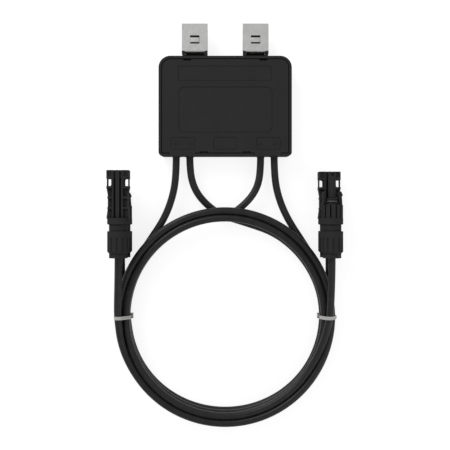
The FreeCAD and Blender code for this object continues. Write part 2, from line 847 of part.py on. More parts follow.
def pin_shell(label, place):
    """Windowed shell round the contact pin, with ribs in front and behind."""
    body = connector_body(label, place)
    threaded_end(body)
    head = sketch(body, "head", S.flange_height - 0.5)
    half_width = S.shell_width / 2
    half_depth = S.shell_depth / 2
    rectangle(head, -half_width, -half_depth, half_width, half_depth)
    shell = pad(body, head, S.shell_top - S.flange_height + 0.5)

    def upright(edge):
        tall = edge.BoundBox.ZMax - edge.BoundBox.ZMin > 40
        return runs_along(edge, Vector(0, 0, 1)) and tall

    dress(body, "Fillet", shell, upright, 2.0)
    top = S.shell_top
    window_low = top - 16.2
    slot_in = 6.4
    slot_out = half_width - 0.8

    mouth = sketch(body, "mouth", top)
    circle(mouth, 0, 0, S.ring_seat_radius + S.running_gap)
    pocket(body, mouth, S.ring_seat_top - S.ribbed_base_top + 0.5)
    barrel = sketch(body, "barrel", top)
    circle(barrel, 0, 0, S.tip_radius + S.running_gap)
    pocket(body, barrel, S.tip_top - S.ribbed_base_top + 2.5)
    bore = sketch(body, "contact_bore", top)
    circle(bore, 0, 0, S.contact_radius + S.contact_clearance)
    pocket(body, bore, top - 1)
    slots = sketch(body, "arm_slots", top)
    for side in (-1, 1):
        near, far = slot_in * side, slot_out * side
        left, right = (near, far) if side > 0 else (far, near)
        half = S.arm_width / 2 + 0.4
        rectangle(slots, left, -half, right, half)
    pocket(body, slots, top - window_low)
    shell_faces(body, half_width, half_depth)
    return body


def shell_faces(body, half_width, half_depth):
    """Windows over the arm slots, grooves beside the middle rib, ladder cells and small dimples."""
    top = S.shell_top
    foot = S.flange_height
    window_low, window_high, clip = top - 16.2, top - 8.6, 1.0
    cell_rows = ((foot + 0.4, foot + 9.2), (foot + 11.2, foot + 19.6), (foot + 22.0, foot + 30.0))
    for face, height, backwards in (("back", half_depth, True), ("front", -half_depth, False)):
        windows = sketch(body, face + "_windows", -height, "XZ_Plane")
        grooves = sketch(body, face + "_grooves", -height, "XZ_Plane")
        deeps = sketch(body, face + "_deep_grooves", -height, "XZ_Plane")
        cells = sketch(body, face + "_cells", -height, "XZ_Plane")
        dimples = sketch(body, face + "_dimples", -height, "XZ_Plane")
        for side in (-1, 1):
            near, far = sized(6.2) * side, (half_width + 1) * side
            polygon(windows, [
                (near, window_low + clip), (near + clip * side, window_low), (far, window_low),
                (far, window_high), (near + clip * side, window_high), (near, window_high - clip),
            ])
            spans = (
                (grooves, 1.9, 3.8, foot, top + 1),
                (deeps, 1.9, 3.8, foot, top - 8.5),
                (dimples, 6.4, 9.6, top - 6.0, top - 1.6),
            )
            for drawn, near, far, low, high in spans:
                left, right = (near, far) if side > 0 else (-far, -near)
                rectangle(drawn, left, low, right, high)
            for low, high in cell_rows:
                near, far = sized(5.7), half_width + 1
                left, right = (near, far) if side > 0 else (-far, -near)
                rectangle(cells, left, low, right, high)
        pocket(body, windows, half_depth - S.window_bridge_depth / 2, reverse=backwards)
        pocket(body, grooves, 1.5, reverse=backwards)
        pocket(body, deeps, 2.7, reverse=backwards)
        pocket(body, cells, 3.3, reverse=backwards)
        pocket(body, dimples, 0.8, reverse=backwards)
    sides = sketch(body, "waist", 0, "XZ_Plane")
    for side in (-1, 1):
        full, narrow = half_width * side, (half_width - S.shell_waist) * side
        polygon(sides, [
            (full + side, foot + 0.6), (full, foot + 0.6), (narrow, foot + 10.8),
            (narrow, foot + 23.0), (full, foot + 30.6), (full + side, foot + 30.6),
        ])
    pocket(body, sides, S.shell_depth + 2, midplane=True)


def socket_body(label, place):
    """Ribbed base, ring seat, tip tube and the two latch arms, moulded in one."""
    body = connector_body(label, place)
    threaded_end(body)
    base_top = S.ribbed_base_top
    tip = sketch(body, "tip", 0, "XZ_Plane")
    seat = S.ring_seat_radius
    groove_high = S.ring_seat_top - 1.7
    groove_low = groove_high - S.ring_groove
    cord = S.ring_cord
    inside = S.contact_radius + S.contact_clearance
    tip_bore = S.tip_radius - S.tip_wall
    polygon(tip, [
        (inside, S.flange_height - 0.5), (S.connector_radius - 2.6, S.flange_height - 0.5),
        (S.connector_radius - 2.6, base_top), (S.tip_radius + 2.6, base_top),
        (seat, base_top + 1.6), (seat, groove_low), (seat - cord, groove_low),
        (seat - cord, groove_high), (seat, groove_high), (seat, S.ring_seat_top),
        (S.tip_radius, S.ring_seat_top + 0.4), (S.tip_radius, S.tip_top - 0.6),
        (S.tip_radius - 0.4, S.tip_top), (tip_bore, S.tip_top),
        (tip_bore, base_top + 4), (inside, base_top + 4),
    ])
    revolve(body, tip)
    rib = sketch(body, "rib", S.flange_height - 0.5)
    rectangle(rib, S.connector_radius - 3.2, -2.1, S.connector_radius - 0.35, 2.1)
    ribs = pad(body, rib, base_top - S.flange_height + 0.5)
    around(body, ribs, 12)
    arms = sketch(body, "latch_arms", 0, "XZ_Plane")
    for side in (-1, 1):
        near = S.arm_place * side
        far = (S.arm_place + S.arm_thickness) * side
        barb = 0.9 * side
        polygon(arms, [
            (near, S.flange_height), (far, S.flange_height), (far, S.arm_top - 5.2),
            (far + barb, S.arm_top - 4.6), (far + barb * 0.6, S.arm_top - 2.6),
            (far - barb, S.arm_top), (near, S.arm_top),
        ])
    pad(body, arms, S.arm_width, midplane=True)
    return body


def contact(label, place, with_pin):
    """Turned contact: crimp barrel and pin, or barrel and bored socket."""
    body = connector_body(label, place)
    barrel = S.contact_radius
    crimp_end = -S.contact_tail
    profile = sketch(body, "profile", 0, "XZ_Plane")
    if with_pin:
        shoulder = S.shell_top - S.tip_top + S.ribbed_base_top - 3.0
        pin = S.pin_radius
        polygon(profile, [
            (0, crimp_end), (barrel, crimp_end), (barrel, shoulder - 0.5), (pin, shoulder),
            (pin, S.pin_top - 1.5), (pin * 0.45, S.pin_top), (0, S.pin_top),
        ])
    else:
        neck = S.tip_radius - S.tip_wall - S.contact_clearance
        shoulder = S.ribbed_base_top + 4 - S.contact_clearance
        mouth = S.tip_top - 1
        polygon(profile, [
            (0, crimp_end), (barrel, crimp_end), (barrel, shoulder), (neck, shoulder),
            (neck, mouth), (S.socket_radius, mouth), (S.socket_radius, mouth - S.socket_length),
            (0, mouth - S.socket_length),
        ])
    revolve(body, profile)
    return body


def gland_seal(label, place):
    """Rubber ring that the nut squeezes onto the lead."""
    body = connector_body(label, place)
    top = -S.contact_tail - 2.5
    bottom = -(S.neck_length + S.thread_length) + 2
    profile = sketch(body, "profile", 0, "XZ_Plane")
    rectangle(profile, LEAD_RADIUS, bottom, S.gland_bore, top)
    revolve(body, profile)
    return body


def gland_claw(label, place):
    """Tapered clamping ring between the seal and the cone inside the nut."""
    body = connector_body(label, place)
    top = -(S.neck_length + S.thread_length) + 2
    tip = top - 5.6
    profile = sketch(body, "profile", 0, "XZ_Plane")
    polygon(profile, [
        (LEAD_RADIUS, top), (LEAD_RADIUS, tip), (LEAD_RADIUS + 1.2, tip),
        (S.gland_bore - 0.2, top - 2.4), (S.gland_bore - 0.2, top),
    ])
    turned = revolve(body, profile)
    slit = sketch(body, "slit", tip - 1)
    rectangle(slit, LEAD_RADIUS - 1, -0.3, S.gland_bore + 1, 0.3)
    cut_slit = pocket(body, slit, 4.6, reverse=True)
    around(body, cut_slit, 6)
    return turned


def cap_nut(label, place, quarter):
    """Fluted nut with a plain band, a chamfer and a short hexagon below."""
    body = connector_body(label, place)
    top = -S.neck_length
    bottom = top - S.nut_length
    end = bottom - S.nut_chamfer
    rim = S.connector_radius
    thread = S.thread_radius + S.running_gap
    bore = LEAD_RADIUS + S.running_gap
    cone_top = -(S.neck_length + S.thread_length) - 0.4
    profile = sketch(body, "profile", 0, "XZ_Plane")
    polygon(profile, [
        (thread, top), (rim, top), (rim, bottom), (rim - S.nut_chamfer, end), (bore, end),
        (bore, cone_top - 5.0), (thread, cone_top),
    ])
    revolve(body, profile)
    flute = sketch(body, "flute", end - 1)
    circle(flute, rim + 0.2, 0, 1.0)
    fluted = pocket(body, flute, S.nut_chamfer + 1 + S.nut_length - S.nut_plain, reverse=True)
    around(body, fluted, 12)
    hexagon = sketch(body, "hexagon", end - S.hex_length)
    corners = []
    for step in range(6):
        angle = math.radians(60 * step + quarter)
        corners.append((S.hex_radius * math.cos(angle), S.hex_radius * math.sin(angle)))
    polygon(hexagon, corners)
    circle(hexagon, 0, 0, bore)
    pad(body, hexagon, S.hex_length + 0.3)
    return body


def ring_seal(label, place):
    """O-ring that seals the two mated connectors."""
    x, z = place
    seat = S.ring_seat_radius - S.ring_cord
    middle = S.ring_seat_top - 1.7 - S.ring_groove / 2
    made = solid("Torus", label + "_torus", (x, CONNECTOR_LINE + middle, z), UPRIGHT_TO_Y,
                 Radius1=seat + S.ring_cord / 2, Radius2=S.ring_cord / 2)
    return keep(made, label)


def connectors():
    """Two connectors on each side, one lying on the other, their mating ends up."""
    left = -S.connector_place
    right = S.connector_place + 0
    spots = (
        ("upper_left", (left, UPPER_AXIS), True, 15),
        ("lower_left", (left, LOWER_AXIS), False, 0),
        ("upper_right", (right, UPPER_AXIS), False, 0),
        ("lower_right", (right, LOWER_AXIS), True, 0),
    )
    for name, place, with_pin, quarter in spots:
        if with_pin:
            pin_shell(name + "_pin_shell", place)
            contact(name + "_contact_pin", place, True)
        else:
            socket_body(name + "_socket_body", place)
            contact(name + "_contact_socket", place, False)
            ring_seal(name + "_ring_seal", place)
        gland_seal(name + "_gland_seal", place)
        gland_claw(name + "_gland_claw", place)
        cap_nut(name + "_cap_nut", place, quarter)


# Leads: runs and tangent arcs outside the ring, one closed solid for the ring

def lead_coil():
    """Outer shape of the ring in which the four leads lie beside and on each other."""
    body = new_body("lead_coil", y=-S.ring_centre)
    section = sketch(body, "section", 0, "XZ_Plane")
    width = S.lead_diameter * 2
    rectangle(section, S.ring_radius - width, 0, S.ring_radius, S.ring_height)
    ring = revolve(body, section)
    dress(body, "Fillet", ring, lambda e: not is_line(e) and e.Length > 400, LEAD_RADIUS)
    rests = sketch(body, "tie_rests", 0, "XZ_Plane")
    low = S.tie_thickness
    rise = low + LEAD_RADIUS
    for side in (-1, 1):
        inner = S.ring_radius - width
        polygon(rests, [
            ((inner - 1) * side, -1), ((S.ring_radius + 1) * side, -1),
            ((S.ring_radius + 1) * side, rise + 1), (S.ring_radius * side, rise),
            ((S.ring_radius - LEAD_RADIUS) * side, low), ((inner + LEAD_RADIUS) * side, low),
            (inner * side, rise), ((inner - 1) * side, rise + 1),
        ])
    pocket(body, rests, S.tie_width + 0.3, midplane=True)
    return body


def rounded_path(points):
    """Straight runs joined by tangent arcs as large as the shorter run of each allows."""
    edges = []
    radii = []
    start = points[0]
    for before, corner, after in zip(points, points[1:], points[2:]):
        run_in, run_out = corner - before, after - corner
        turn = run_in.getAngle(run_out)
        trim = 0.45 * min(run_in.Length, run_out.Length)
        radii.append(trim / math.tan(turn / 2))
        entry = corner - run_in.normalize() * trim
        leave = corner + run_out.normalize() * trim
        pull = (entry - corner) + (leave - corner)
        depth = radii[-1] * (1 / math.cos(turn / 2) - 1)
        middle = corner + pull.normalize() * depth
        edges.append(Part.LineSegment(start, entry).toShape())
        edges.append(Part.Arc(entry, middle, leave).toShape())
        start = leave
    edges.append(Part.LineSegment(start, points[-1]).toShape())
    return Part.Wire(edges), radii


def lead_tube(label, route, coil):
    """A lead as one tube; what would lie inside the ring is left to the ring."""
    points = [Vector(*(sized(number).value for number in point)) for point in route]
    path, radii = rounded_path(points)
    section = Part.Circle(points[0], points[1] - points[0], LEAD_RADIUS.value)
    tube = path.makePipeShell([Part.Wire(section.toShape())], True, False)
    expected = math.pi * LEAD_RADIUS.value ** 2 * path.Length
    if abs(tube.Volume - expected) > 0.01 * expected:
        raise ValueError("%s has volume %.1f, not %.1f" % (label, tube.Volume, expected))
    shown = ", ".join("%.0f" % radius for radius in radii)
    print("%s: %.1f long, radii %s" % (label, path.Length, shown))
    outside = tube.cut(coil.Shape)
    pieces = sorted(outside.Solids, key=lambda piece: piece.distToShape(Part.Vertex(points[0]))[0])
    made = DOC.addObject("Part::Feature", label)
    made.Shape = pieces[0]
    return keep(made, label)


def leads(coil):
    """The eight free stretches: four from the box to the ring, four on to the connectors."""
    far = S.outer_lead_place
    near = S.inner_lead_place
    face = TERMINAL_FACE
    level = S.lead_height
    plug = S.connector_place
    tail = CONNECTOR_LINE - S.contact_tail
    high = UPPER_AXIS
    low = LOWER_AXIS
    starts = {
        "input_outer_lead_start": [
            (-far, face, level), (-far, -85.65, level), (-54.5, -109.65, 11.4),
            (-64, -135.15, 11.4), (-82.5, -162.15, 11.4), (-99, -188.15, 11.4)],
        "input_inner_lead_start": [
            (-near, face, level), (-near, -81.65, level), (-33.9, -100.15, 9.8),
            (-24.5, -115.15, 6.6), (-9, -128.15, 4.2), (3, -133.15, 3.9)],
        "output_inner_lead_start": [
            (near, face, level), (near, -81.65, level), (34.6, -100.15, 11.6),
            (25.3, -115.15, 11.4), (9.5, -128.45, 11.4), (-2.5, -133.15, 11.5)],
        "output_outer_lead_start": [
            (far, face, level), (far, -85.65, level), (55, -109.65, 11.4),
            (65.2, -134.65, 11.4), (83.5, -162.15, 11.4), (99, -188.15, 11.4)],
    }
    bend = CONNECTOR_LINE - 44.7
    ends = {
        "output_outer_lead_end": [
            (-plug, tail, high), (-plug, bend, high), (-110.6, -223.15, 30.0),
            (-107.8, -259.65, 24.2), (-99.5, -291.65, 19)],
        "input_inner_lead_end": [
            (-plug, tail, low), (-plug, bend, low), (-110.8, -223.15, 11.4)],
        "output_inner_lead_end": [
            (plug, tail, high), (plug, bend, high), (108.6, -222.65, 29.2),
            (105.2, -258.65, 22.8), (96.5, -289.65, 18)],
        "input_outer_lead_end": [
            (plug, tail, low), (plug, bend, low), (110.8, -223.15, 11.4)],
    }
    first = [lead_tube(label, route, coil) for label, route in starts.items()]
    last = {label: lead_tube(label, route, coil) for label, route in ends.items()}
    return first, last


def cable_tie(label, side, rider, top_place, crest):
    """Band drawn tight round the strands and the one that rides on top of them."""
    radius = LEAD_RADIUS.value
    outer = S.ring_radius.value - radius
    inner = outer - S.lead_diameter.value
    low = S.tie_thickness.value + radius
    high = S.ring_height.value - radius
    middles = [(inner, low), (outer, low), (outer, high), (top_place, crest), (inner, high)]
    corners = [Vector(x * side, 0, z) for x, z in middles]
    core = Part.Face(Part.makePolygon(corners + corners[:1]))
    hole = core.makeOffset2D(radius + 0.06)
    rim = core.makeOffset2D(radius + S.tie_thickness.value)
    width = S.tie_width.value
    band = rim.cut(hole).extrude(Vector(0, width, 0))
    head_size = S.tie_head.value
    head_in = inner - radius - S.tie_thickness.value * 2.4
    head = Part.makeBox(S.tie_thickness.value * 2.2, head_size, head_size)
    x = head_in if side > 0 else -head_in - S.tie_thickness.value * 2.2
    head.translate(Vector(x, width / 2 - head_size / 2 + 1.0, S.ring_height.value / 2 - 2))
    head = head.cut(Part.Face(Part.Wire(hole.Edges)).extrude(Vector(0, width, 0)))
    tie = band.fuse(head).removeSplitter()
    tie.translate(Vector(0, -S.ring_centre.value - width / 2, 0))
    made = DOC.addObject("Part::Feature", label)
    made.Shape = tie.cut(rider.Shape)
    return keep(made, label)


def check_and_write():
    """Stop on any failed feature or empty shape, then write one file for each piece."""
    DOC.recompute()
    for thing in DOC.Objects:
        if "Invalid" in thing.State or "Error" in thing.State:
            raise ValueError("failed feature: " + thing.Name)
    os.makedirs("parts", exist_ok=True)
    for piece in PARTS:
        shape = piece.Shape
        if shape.isNull() or not shape.isValid() or shape.Volume <= 0:
            raise ValueError("bad shape: " + piece.Label)
        shape.exportStep("parts/" + piece.Label + ".step")


def build():
    housing = housing_body()
    front_lid()
    spring_clip("clip_left", -1)
    spring_clip("clip_right", 1)
    places = {
        "input_outer_grommet": -S.outer_lead_place,
        "input_inner_grommet": -S.inner_lead_place,
        "output_inner_grommet": S.inner_lead_place + 0,
        "output_outer_grommet": S.outer_lead_place + 0,
    }
    grommets = [lead_grommet(label, place) for label, place in places.items()]
    coil = lead_coil()
    starts, ends = leads(coil)
    potting([housing] + grommets + starts + circuit())
    connectors()
    cable_tie("left_tie", -1, ends["output_outer_lead_end"], 109.5, 27.9)
    cable_tie("right_tie", 1, ends["output_inner_lead_end"], 107.1, 26.7)
    check_and_write()
    print("%d pieces written" % len(PARTS))


build()
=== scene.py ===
"""Dresses the solar power optimizer: its studio, its four coiled leads, its finishes and its fine detail."""

import math

import bpy
from bpy.props import FloatProperty, FloatVectorProperty, IntProperty, PointerProperty
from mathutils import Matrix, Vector


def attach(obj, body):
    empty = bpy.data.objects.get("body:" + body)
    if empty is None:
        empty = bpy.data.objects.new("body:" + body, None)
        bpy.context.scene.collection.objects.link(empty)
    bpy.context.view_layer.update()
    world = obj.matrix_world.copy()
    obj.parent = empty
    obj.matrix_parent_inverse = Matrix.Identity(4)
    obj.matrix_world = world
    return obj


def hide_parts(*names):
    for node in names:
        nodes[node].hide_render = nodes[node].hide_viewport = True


bl_info = {
    "name": "Solar Power Optimizer",
    "version": (1, 0, 0),
    "blender": (4, 5, 0),
    "location": "3D View > Sidebar > Optimizer",
    "description": "Studio, coiled leads, finishes and fine detail for a module-level power optimizer",
    "category": "Object",
}

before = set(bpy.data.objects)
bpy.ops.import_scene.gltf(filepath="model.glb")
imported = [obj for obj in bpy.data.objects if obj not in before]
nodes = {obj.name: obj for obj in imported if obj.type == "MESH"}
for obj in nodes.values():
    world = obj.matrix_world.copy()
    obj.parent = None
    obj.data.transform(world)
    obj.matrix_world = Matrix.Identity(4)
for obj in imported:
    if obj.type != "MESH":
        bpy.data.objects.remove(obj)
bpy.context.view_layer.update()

MM = 0.001
BODY = "root"

# Connectors, by the kind of their contacts
CONNECTORS = ("upper_left", "upper_right", "lower_left", "lower_right")
PIN_SIDES = ("upper_left", "lower_right")
SOCKET_SIDES = ("upper_right", "lower_left")
# Where the connectors' axes and the lower faces of their flanges are, in millimetres
CONNECTOR_AXIS = 109.2
CONNECTOR_LINE = -140.95
# How nearly a face has to point a way to be picked, as the cosine of the angle between them
FACING = 0.9


def sized(name, description, default):
    """A length in metres that a user may change."""
    return FloatProperty(name=name, description=description, default=default, unit="LENGTH", precision=5)


def tinted(name, description, default):
    """A colour, as linear red, green and blue."""
    return FloatVectorProperty(
        name=name, description=description, default=default, subtype="COLOR", size=3, min=0.0, max=1.0
    )


class StudioSettings(bpy.types.PropertyGroup):
    """Camera, floor and lights."""

    aim_across: sized("Aim across", "Where the camera stands, left to right", -0.2 * MM)
    aim_along: sized("Aim along", "Where the camera stands, bottom to top of the picture", -141.25 * MM)
    height: sized("Camera height", "How high the camera is over the floor", 803.0 * MM)
    lens: FloatProperty(name="Lens", description="Focal length in millimetres", default=60.2)
    floor_size: sized("Floor size", "Width of the pale floor", 6.0)
    floor_colour: tinted("Floor colour", "Colour of the pale floor", (0.26, 0.26, 0.26))
    sky: FloatProperty(name="Sky", description="Strength of the even light all round", default=0.78)
    key: FloatProperty(name="Key light", description="Watts of the large soft light", default=17.0)
    fill: FloatProperty(name="Fill light", description="Watts of the small soft light", default=4.0)
    floor_glow: FloatProperty(
        name="Floor glow", description="How much the pale floor shines, as on a light table", default=0.8
    )


class LeadSettings(bpy.types.PropertyGroup):
    """The four leads and the ring that they are wound into."""

    diameter: sized("Lead diameter", "Thickness over the jacket", 7.6 * MM)
    ring_drop: sized("Ring centre", "How far below the origin the ring's centre lies", 237.15 * MM)
    points_a_turn: IntProperty(name="Points a turn", description="Control points in each turn", default=24)
    jacket_colour: tinted("Jacket colour", "Colour of the lead jackets", (0.011, 0.011, 0.0115))


class HousingSettings(bpy.types.PropertyGroup):
    """The moulded box and its lid."""

    plastic_colour: tinted("Plastic colour", "Colour of the box and lid", (0.0205, 0.0205, 0.021))
    grain: sized("Grain", "Width of one grain of the spark-eroded surface", 0.35 * MM)
    mark_size: sized("Mark size", "Width of a plus or minus sign on the lid", 4.6 * MM)
    mark_stroke: sized("Mark stroke", "Width of a sign's strokes", 0.7 * MM)
    mark_height: sized("Mark height", "How far a sign stands out", 0.3 * MM)
    edge: sized("Edge rounding", "Width of the rounding on moulded edges", 0.3 * MM)
    line_width: sized("Line width", "Width of the fine line round each panel", 0.3 * MM)


class MetalSettings(bpy.types.PropertyGroup):
    """Clips and contacts."""

    steel_colour: tinted("Steel colour", "Colour of the spring clips", (0.51, 0.51, 0.505))
    contact_colour: tinted("Contact colour", "Colour of the plated contacts", (0.78, 0.77, 0.75))


class ConnectorSettings(bpy.types.PropertyGroup):
    """The four plug connectors."""

    shell_colour: tinted("Shell colour", "Colour of the connector bodies", (0.0205, 0.0205, 0.021))
    seal_colour: tinted("Seal colour", "Colour of the rubber seals", (0.012, 0.012, 0.012))
    edge: sized("Edge rounding", "Width of the rounding on moulded edges", 0.2 * MM)


class TieSettings(bpy.types.PropertyGroup):
    """The two cable ties."""

    nylon_colour: tinted("Nylon colour", "Colour of the ties", (0.30, 0.30, 0.29))


def settings(context, name):
    """The scene's settings of that name."""
    return getattr(context.scene, "optimizer_" + name)


# Shaders


def material(name, colour, roughness, metallic=0.0, specular=0.5):
    """A material whose even values stand on its shader's own sockets."""
    made = bpy.data.materials.new(name)
    made.use_nodes = True
    shader = made.node_tree.nodes["Principled BSDF"]
    shader.inputs["Base Color"].default_value = (*colour, 1.0)
    shader.inputs["Roughness"].default_value = roughness
    shader.inputs["Metallic"].default_value = metallic
    shader.inputs["Specular IOR Level"].default_value = specular
    return made, shader


def add_node(made, kind, **values):
    """A shader node with the given inputs."""
    node = made.node_tree.nodes.new(kind)
    for key, value in values.items():
        node.inputs[key.replace("_", " ")].default_value = value
    return node


def link(made, source, out, target, into):
    """Joins one node's output to another's input."""
    made.node_tree.links.new(source.outputs[out], target.inputs[into])


def place(made, stretch=(1.0, 1.0, 1.0)):
    """The point on the object, in metres, stretched for a pattern with a direction."""
    coordinates = add_node(made, "ShaderNodeTexCoord")
    mapping = add_node(made, "ShaderNodeMapping", Scale=stretch)
    link(made, coordinates, "Object", mapping, "Vector")
    return mapping


def noise(made, where, pitch, detail=2.0, roughness=0.5):
    """Noise whose lumps are about pitch metres wide."""
    pattern = add_node(made, "ShaderNodeTexNoise", Scale=1.0 / pitch, Detail=detail, Roughness=roughness)
    link(made, where, "Vector", pattern, "Vector")
    return pattern


def ramp(made, source, low, high, start=0.35, end=0.65):
    """Turns a pattern's value into a colour between two others."""
    node = add_node(made, "ShaderNodeValToRGB")
    stops = node.color_ramp.elements
    stops[0].position, stops[0].color = start, (*low, 1.0)
    stops[1].position, stops[1].color = end, (*high, 1.0)
    link(made, source, "Fac", node, "Fac")
    return node


def spread(made, source, low, high):
    """Turns a pattern's value into a number between two others."""
    node = add_node(made, "ShaderNodeMapRange", From_Min=0.3, From_Max=0.7, To_Min=low, To_Max=high)
    link(made, source, "Fac", node, "Value")
    return node


def bump(made, source, depth, strength, under=None):
    """Raises a surface by a pattern, depth metres high."""
    node = add_node(made, "ShaderNodeBump", Strength=strength, Distance=depth)
    link(made, source, "Fac", node, "Height")
    if under:
        link(made, under, "Normal", node, "Normal")
    return node


def shade_of(colour, factor):
    """A lighter or darker colour of the same hue."""
    return tuple(min(1.0, part * factor) for part in colour)


def hollow_shade(made, tone, shader, reach, least):
    """Paints shade into a colour in grooves and inner corners, darkening it by ambient occlusion down to the least
    share of it.
    """
    hollow = add_node(made, "ShaderNodeAmbientOcclusion", Distance=reach)
    share = add_node(made, "ShaderNodeMapRange", From_Min=0.25, From_Max=0.95, To_Min=least, To_Max=1.0)
    link(made, hollow, "AO", share, "Value")
    toned = made.node_tree.nodes.new("ShaderNodeVectorMath")
    toned.operation = "SCALE"
    link(made, tone, "Color", toned, "Vector")
    link(made, share, "Result", toned, "Scale")
    link(made, toned, "Vector", shader, "Base Color")


def moulded_plastic(name, colour, grain, roughness=0.85, specular=0.06):
    """Black glass-filled nylon with an eroded grain, flow shading, gloss that changes from place to place, and
    painted shade in its grooves and inner corners.
    """
    made, shader = material(name, colour, roughness, specular=specular)
    where = place(made)
    clouds = noise(made, where, 60 * grain, 3.0)
    tone = ramp(made, clouds, shade_of(colour, 0.97), shade_of(colour, 1.04))
    # Painted shade: the colour darkens in grooves and inner corners.
    hollow_shade(made, tone, shader, 2.5 * MM, 0.4)
    gloss = spread(made, noise(made, where, 12 * grain, 4.0), roughness - 0.02, roughness + 0.03)
    link(made, gloss, "Result", shader, "Roughness")
    eroded = bump(made, noise(made, where, grain, 3.0, 0.6), 0.02 * MM, 0.55)
    link(made, eroded, "Normal", shader, "Normal")
    return made


def cable_jacket(name, colour):
    """Cross-linked cable jacket: satin, with fine extrusion haze and handling marks."""
    made, shader = material(name, colour, 0.38, specular=0.18)
    where = place(made)
    dust = noise(made, where, 9 * MM, 5.0, 0.6)
    tone = ramp(made, dust, shade_of(colour, 0.85), shade_of(colour, 1.25))
    link(made, tone, "Color", shader, "Base Color")
    gloss = spread(made, noise(made, where, 3 * MM, 4.0), 0.33, 0.43)
    link(made, gloss, "Result", shader, "Roughness")
    skin = bump(made, noise(made, where, 0.6 * MM, 2.0), 0.02 * MM, 0.35)
    link(made, skin, "Normal", shader, "Normal")
    return made


def rubber(name, colour):
    """Matt seal rubber."""
    made, shader = material(name, colour, 0.7, specular=0.3)
    where = place(made)
    tone = ramp(made, noise(made, where, 2 * MM, 3.0), shade_of(colour, 0.8), shade_of(colour, 1.3))
    link(made, tone, "Color", shader, "Base Color")
    link(made, bump(made, noise(made, where, 0.25 * MM), 0.02 * MM, 0.5), "Normal", shader, "Normal")
    return made


def brushed_steel(name, colour):
    """Rolled spring strip, with its rolling lines along the strip."""
    made, shader = material(name, colour, 0.38, metallic=1.0)
    along = place(made, (1.0, 0.04, 1.0))
    lines = noise(made, along, 0.12 * MM, 3.0, 0.7)
    tone = ramp(made, lines, shade_of(colour, 0.86), shade_of(colour, 1.1), 0.3, 0.7)
    link(made, tone, "Color", shader, "Base Color")
    gloss = spread(made, noise(made, place(made), 4 * MM, 4.0), 0.30, 0.46)
    link(made, gloss, "Result", shader, "Roughness")
    link(made, bump(made, lines, 0.01 * MM, 0.4), "Normal", shader, "Normal")
    return made


def plated_metal(name, colour):
    """Tin-plated copper."""
    made, shader = material(name, colour, 0.3, metallic=1.0)
    where = place(made)
    tone = ramp(made, noise(made, where, 1.5 * MM, 4.0), shade_of(colour, 0.85), colour)
    link(made, tone, "Color", shader, "Base Color")
    gloss = spread(made, noise(made, where, 0.8 * MM, 3.0), 0.24, 0.4)
    link(made, gloss, "Result", shader, "Roughness")
    return made


def speckled(name, low, high, pitch, roughness, metallic=0.0):
    """An inner part's finish: two tones mixed by a grain."""
    made, shader = material(name, low, roughness, metallic)
    where = place(made)
    grain = noise(made, where, pitch, 4.0)
    link(made, ramp(made, grain, low, high), "Color", shader, "Base Color")
    link(made, bump(made, grain, 0.03 * MM, 0.4), "Normal", shader, "Normal")
    return made


def tie_nylon(name, colour):
    """Natural nylon: slightly cloudy, satin, letting a little light through."""
    made, shader = material(name, colour, 0.4)
    shader.inputs["Subsurface Weight"].default_value = 0.15
    shader.inputs["Subsurface Scale"].default_value = 1.0 * MM
    where = place(made)
    tone = ramp(made, noise(made, where, 5 * MM, 3.0), shade_of(colour, 0.92), shade_of(colour, 1.08))
    link(made, tone, "Color", shader, "Base Color")
    link(made, bump(made, noise(made, where, 0.4 * MM), 0.01 * MM, 0.4), "Normal", shader, "Normal")
    return made


def finish(made, *names):
    """Puts a material on CAD nodes."""
    for name in names:
        for held in nodes[name].material_slots:
            held.material = made


# Working on pieces


def select_only(piece):
    """Leaves one piece selected and active."""
    bpy.ops.object.select_all(action="DESELECT")
    bpy.context.view_layer.objects.active = piece
    piece.select_set(True)


def settle(piece):
    """Puts the piece's place, turn and size in its mesh."""
    select_only(piece)
    bpy.ops.object.transform_apply(location=True, rotation=True, scale=True)


def apply_modifier(piece, kind, **values):
    """Adds a modifier with these values and applies it."""
    select_only(piece)
    added = piece.modifiers.new(kind.lower(), kind)
    for key, value in values.items():
        setattr(added, key, value)
    bpy.ops.object.modifier_apply(modifier=added.name)


def smooth_faces(piece, angle=50):
    """Smooth shading that keeps the flat faces flat."""
    select_only(piece)
    bpy.ops.object.shade_smooth_by_angle(angle=math.radians(angle))
    apply_modifier(piece, "WEIGHTED_NORMAL", keep_sharp=True, weight=80)


def round_edges(piece, width, angle=35, **more):
    """Rounds the edges that turn by more than this angle."""
    apply_modifier(
        piece, "BEVEL", width=width, segments=2, limit_method="ANGLE", angle_limit=math.radians(angle), **more
    )


def select_nothing(kind):
    """Clears the selection in the active mesh, which is made by this kind of element from now on."""
    bpy.ops.object.mode_set(mode="EDIT")
    bpy.ops.mesh.select_mode(type=kind)
    bpy.ops.mesh.select_all(action="DESELECT")
    bpy.ops.object.mode_set(mode="OBJECT")


def pick_faces(piece, wanted):
    """Goes into edit mode with only the faces selected whose middle and normal answer the question."""
    select_nothing("FACE")
    for face in piece.data.polygons:
        face.select = wanted(face.center, face.normal)
    bpy.ops.object.mode_set(mode="EDIT")


def draw_out(across, along, up):
    """Extrudes the picked faces this far, in millimetres."""
    bpy.ops.mesh.extrude_region_move(TRANSFORM_OT_translate={"value": (across * MM, along * MM, up * MM)})


def recalculate(piece):
    """Turns all faces outwards."""
    select_only(piece)
    bpy.ops.object.mode_set(mode="EDIT")
    bpy.ops.mesh.select_all(action="SELECT")
    bpy.ops.mesh.normals_make_consistent(inside=False)
    bpy.ops.object.mode_set(mode="OBJECT")


def new_block(name, low, high):
    """A cube primitive stretched between two corners, in millimetres, as a start."""
    bpy.ops.object.select_all(action="DESELECT")
    bpy.ops.mesh.primitive_cube_add(size=1)
    piece = bpy.context.object
    piece.name = name
    piece.location = [(a + b) / 2 * MM for a, b in zip(low, high)]
    piece.scale = [(b - a) * MM for a, b in zip(low, high)]
    settle(piece)
    return piece


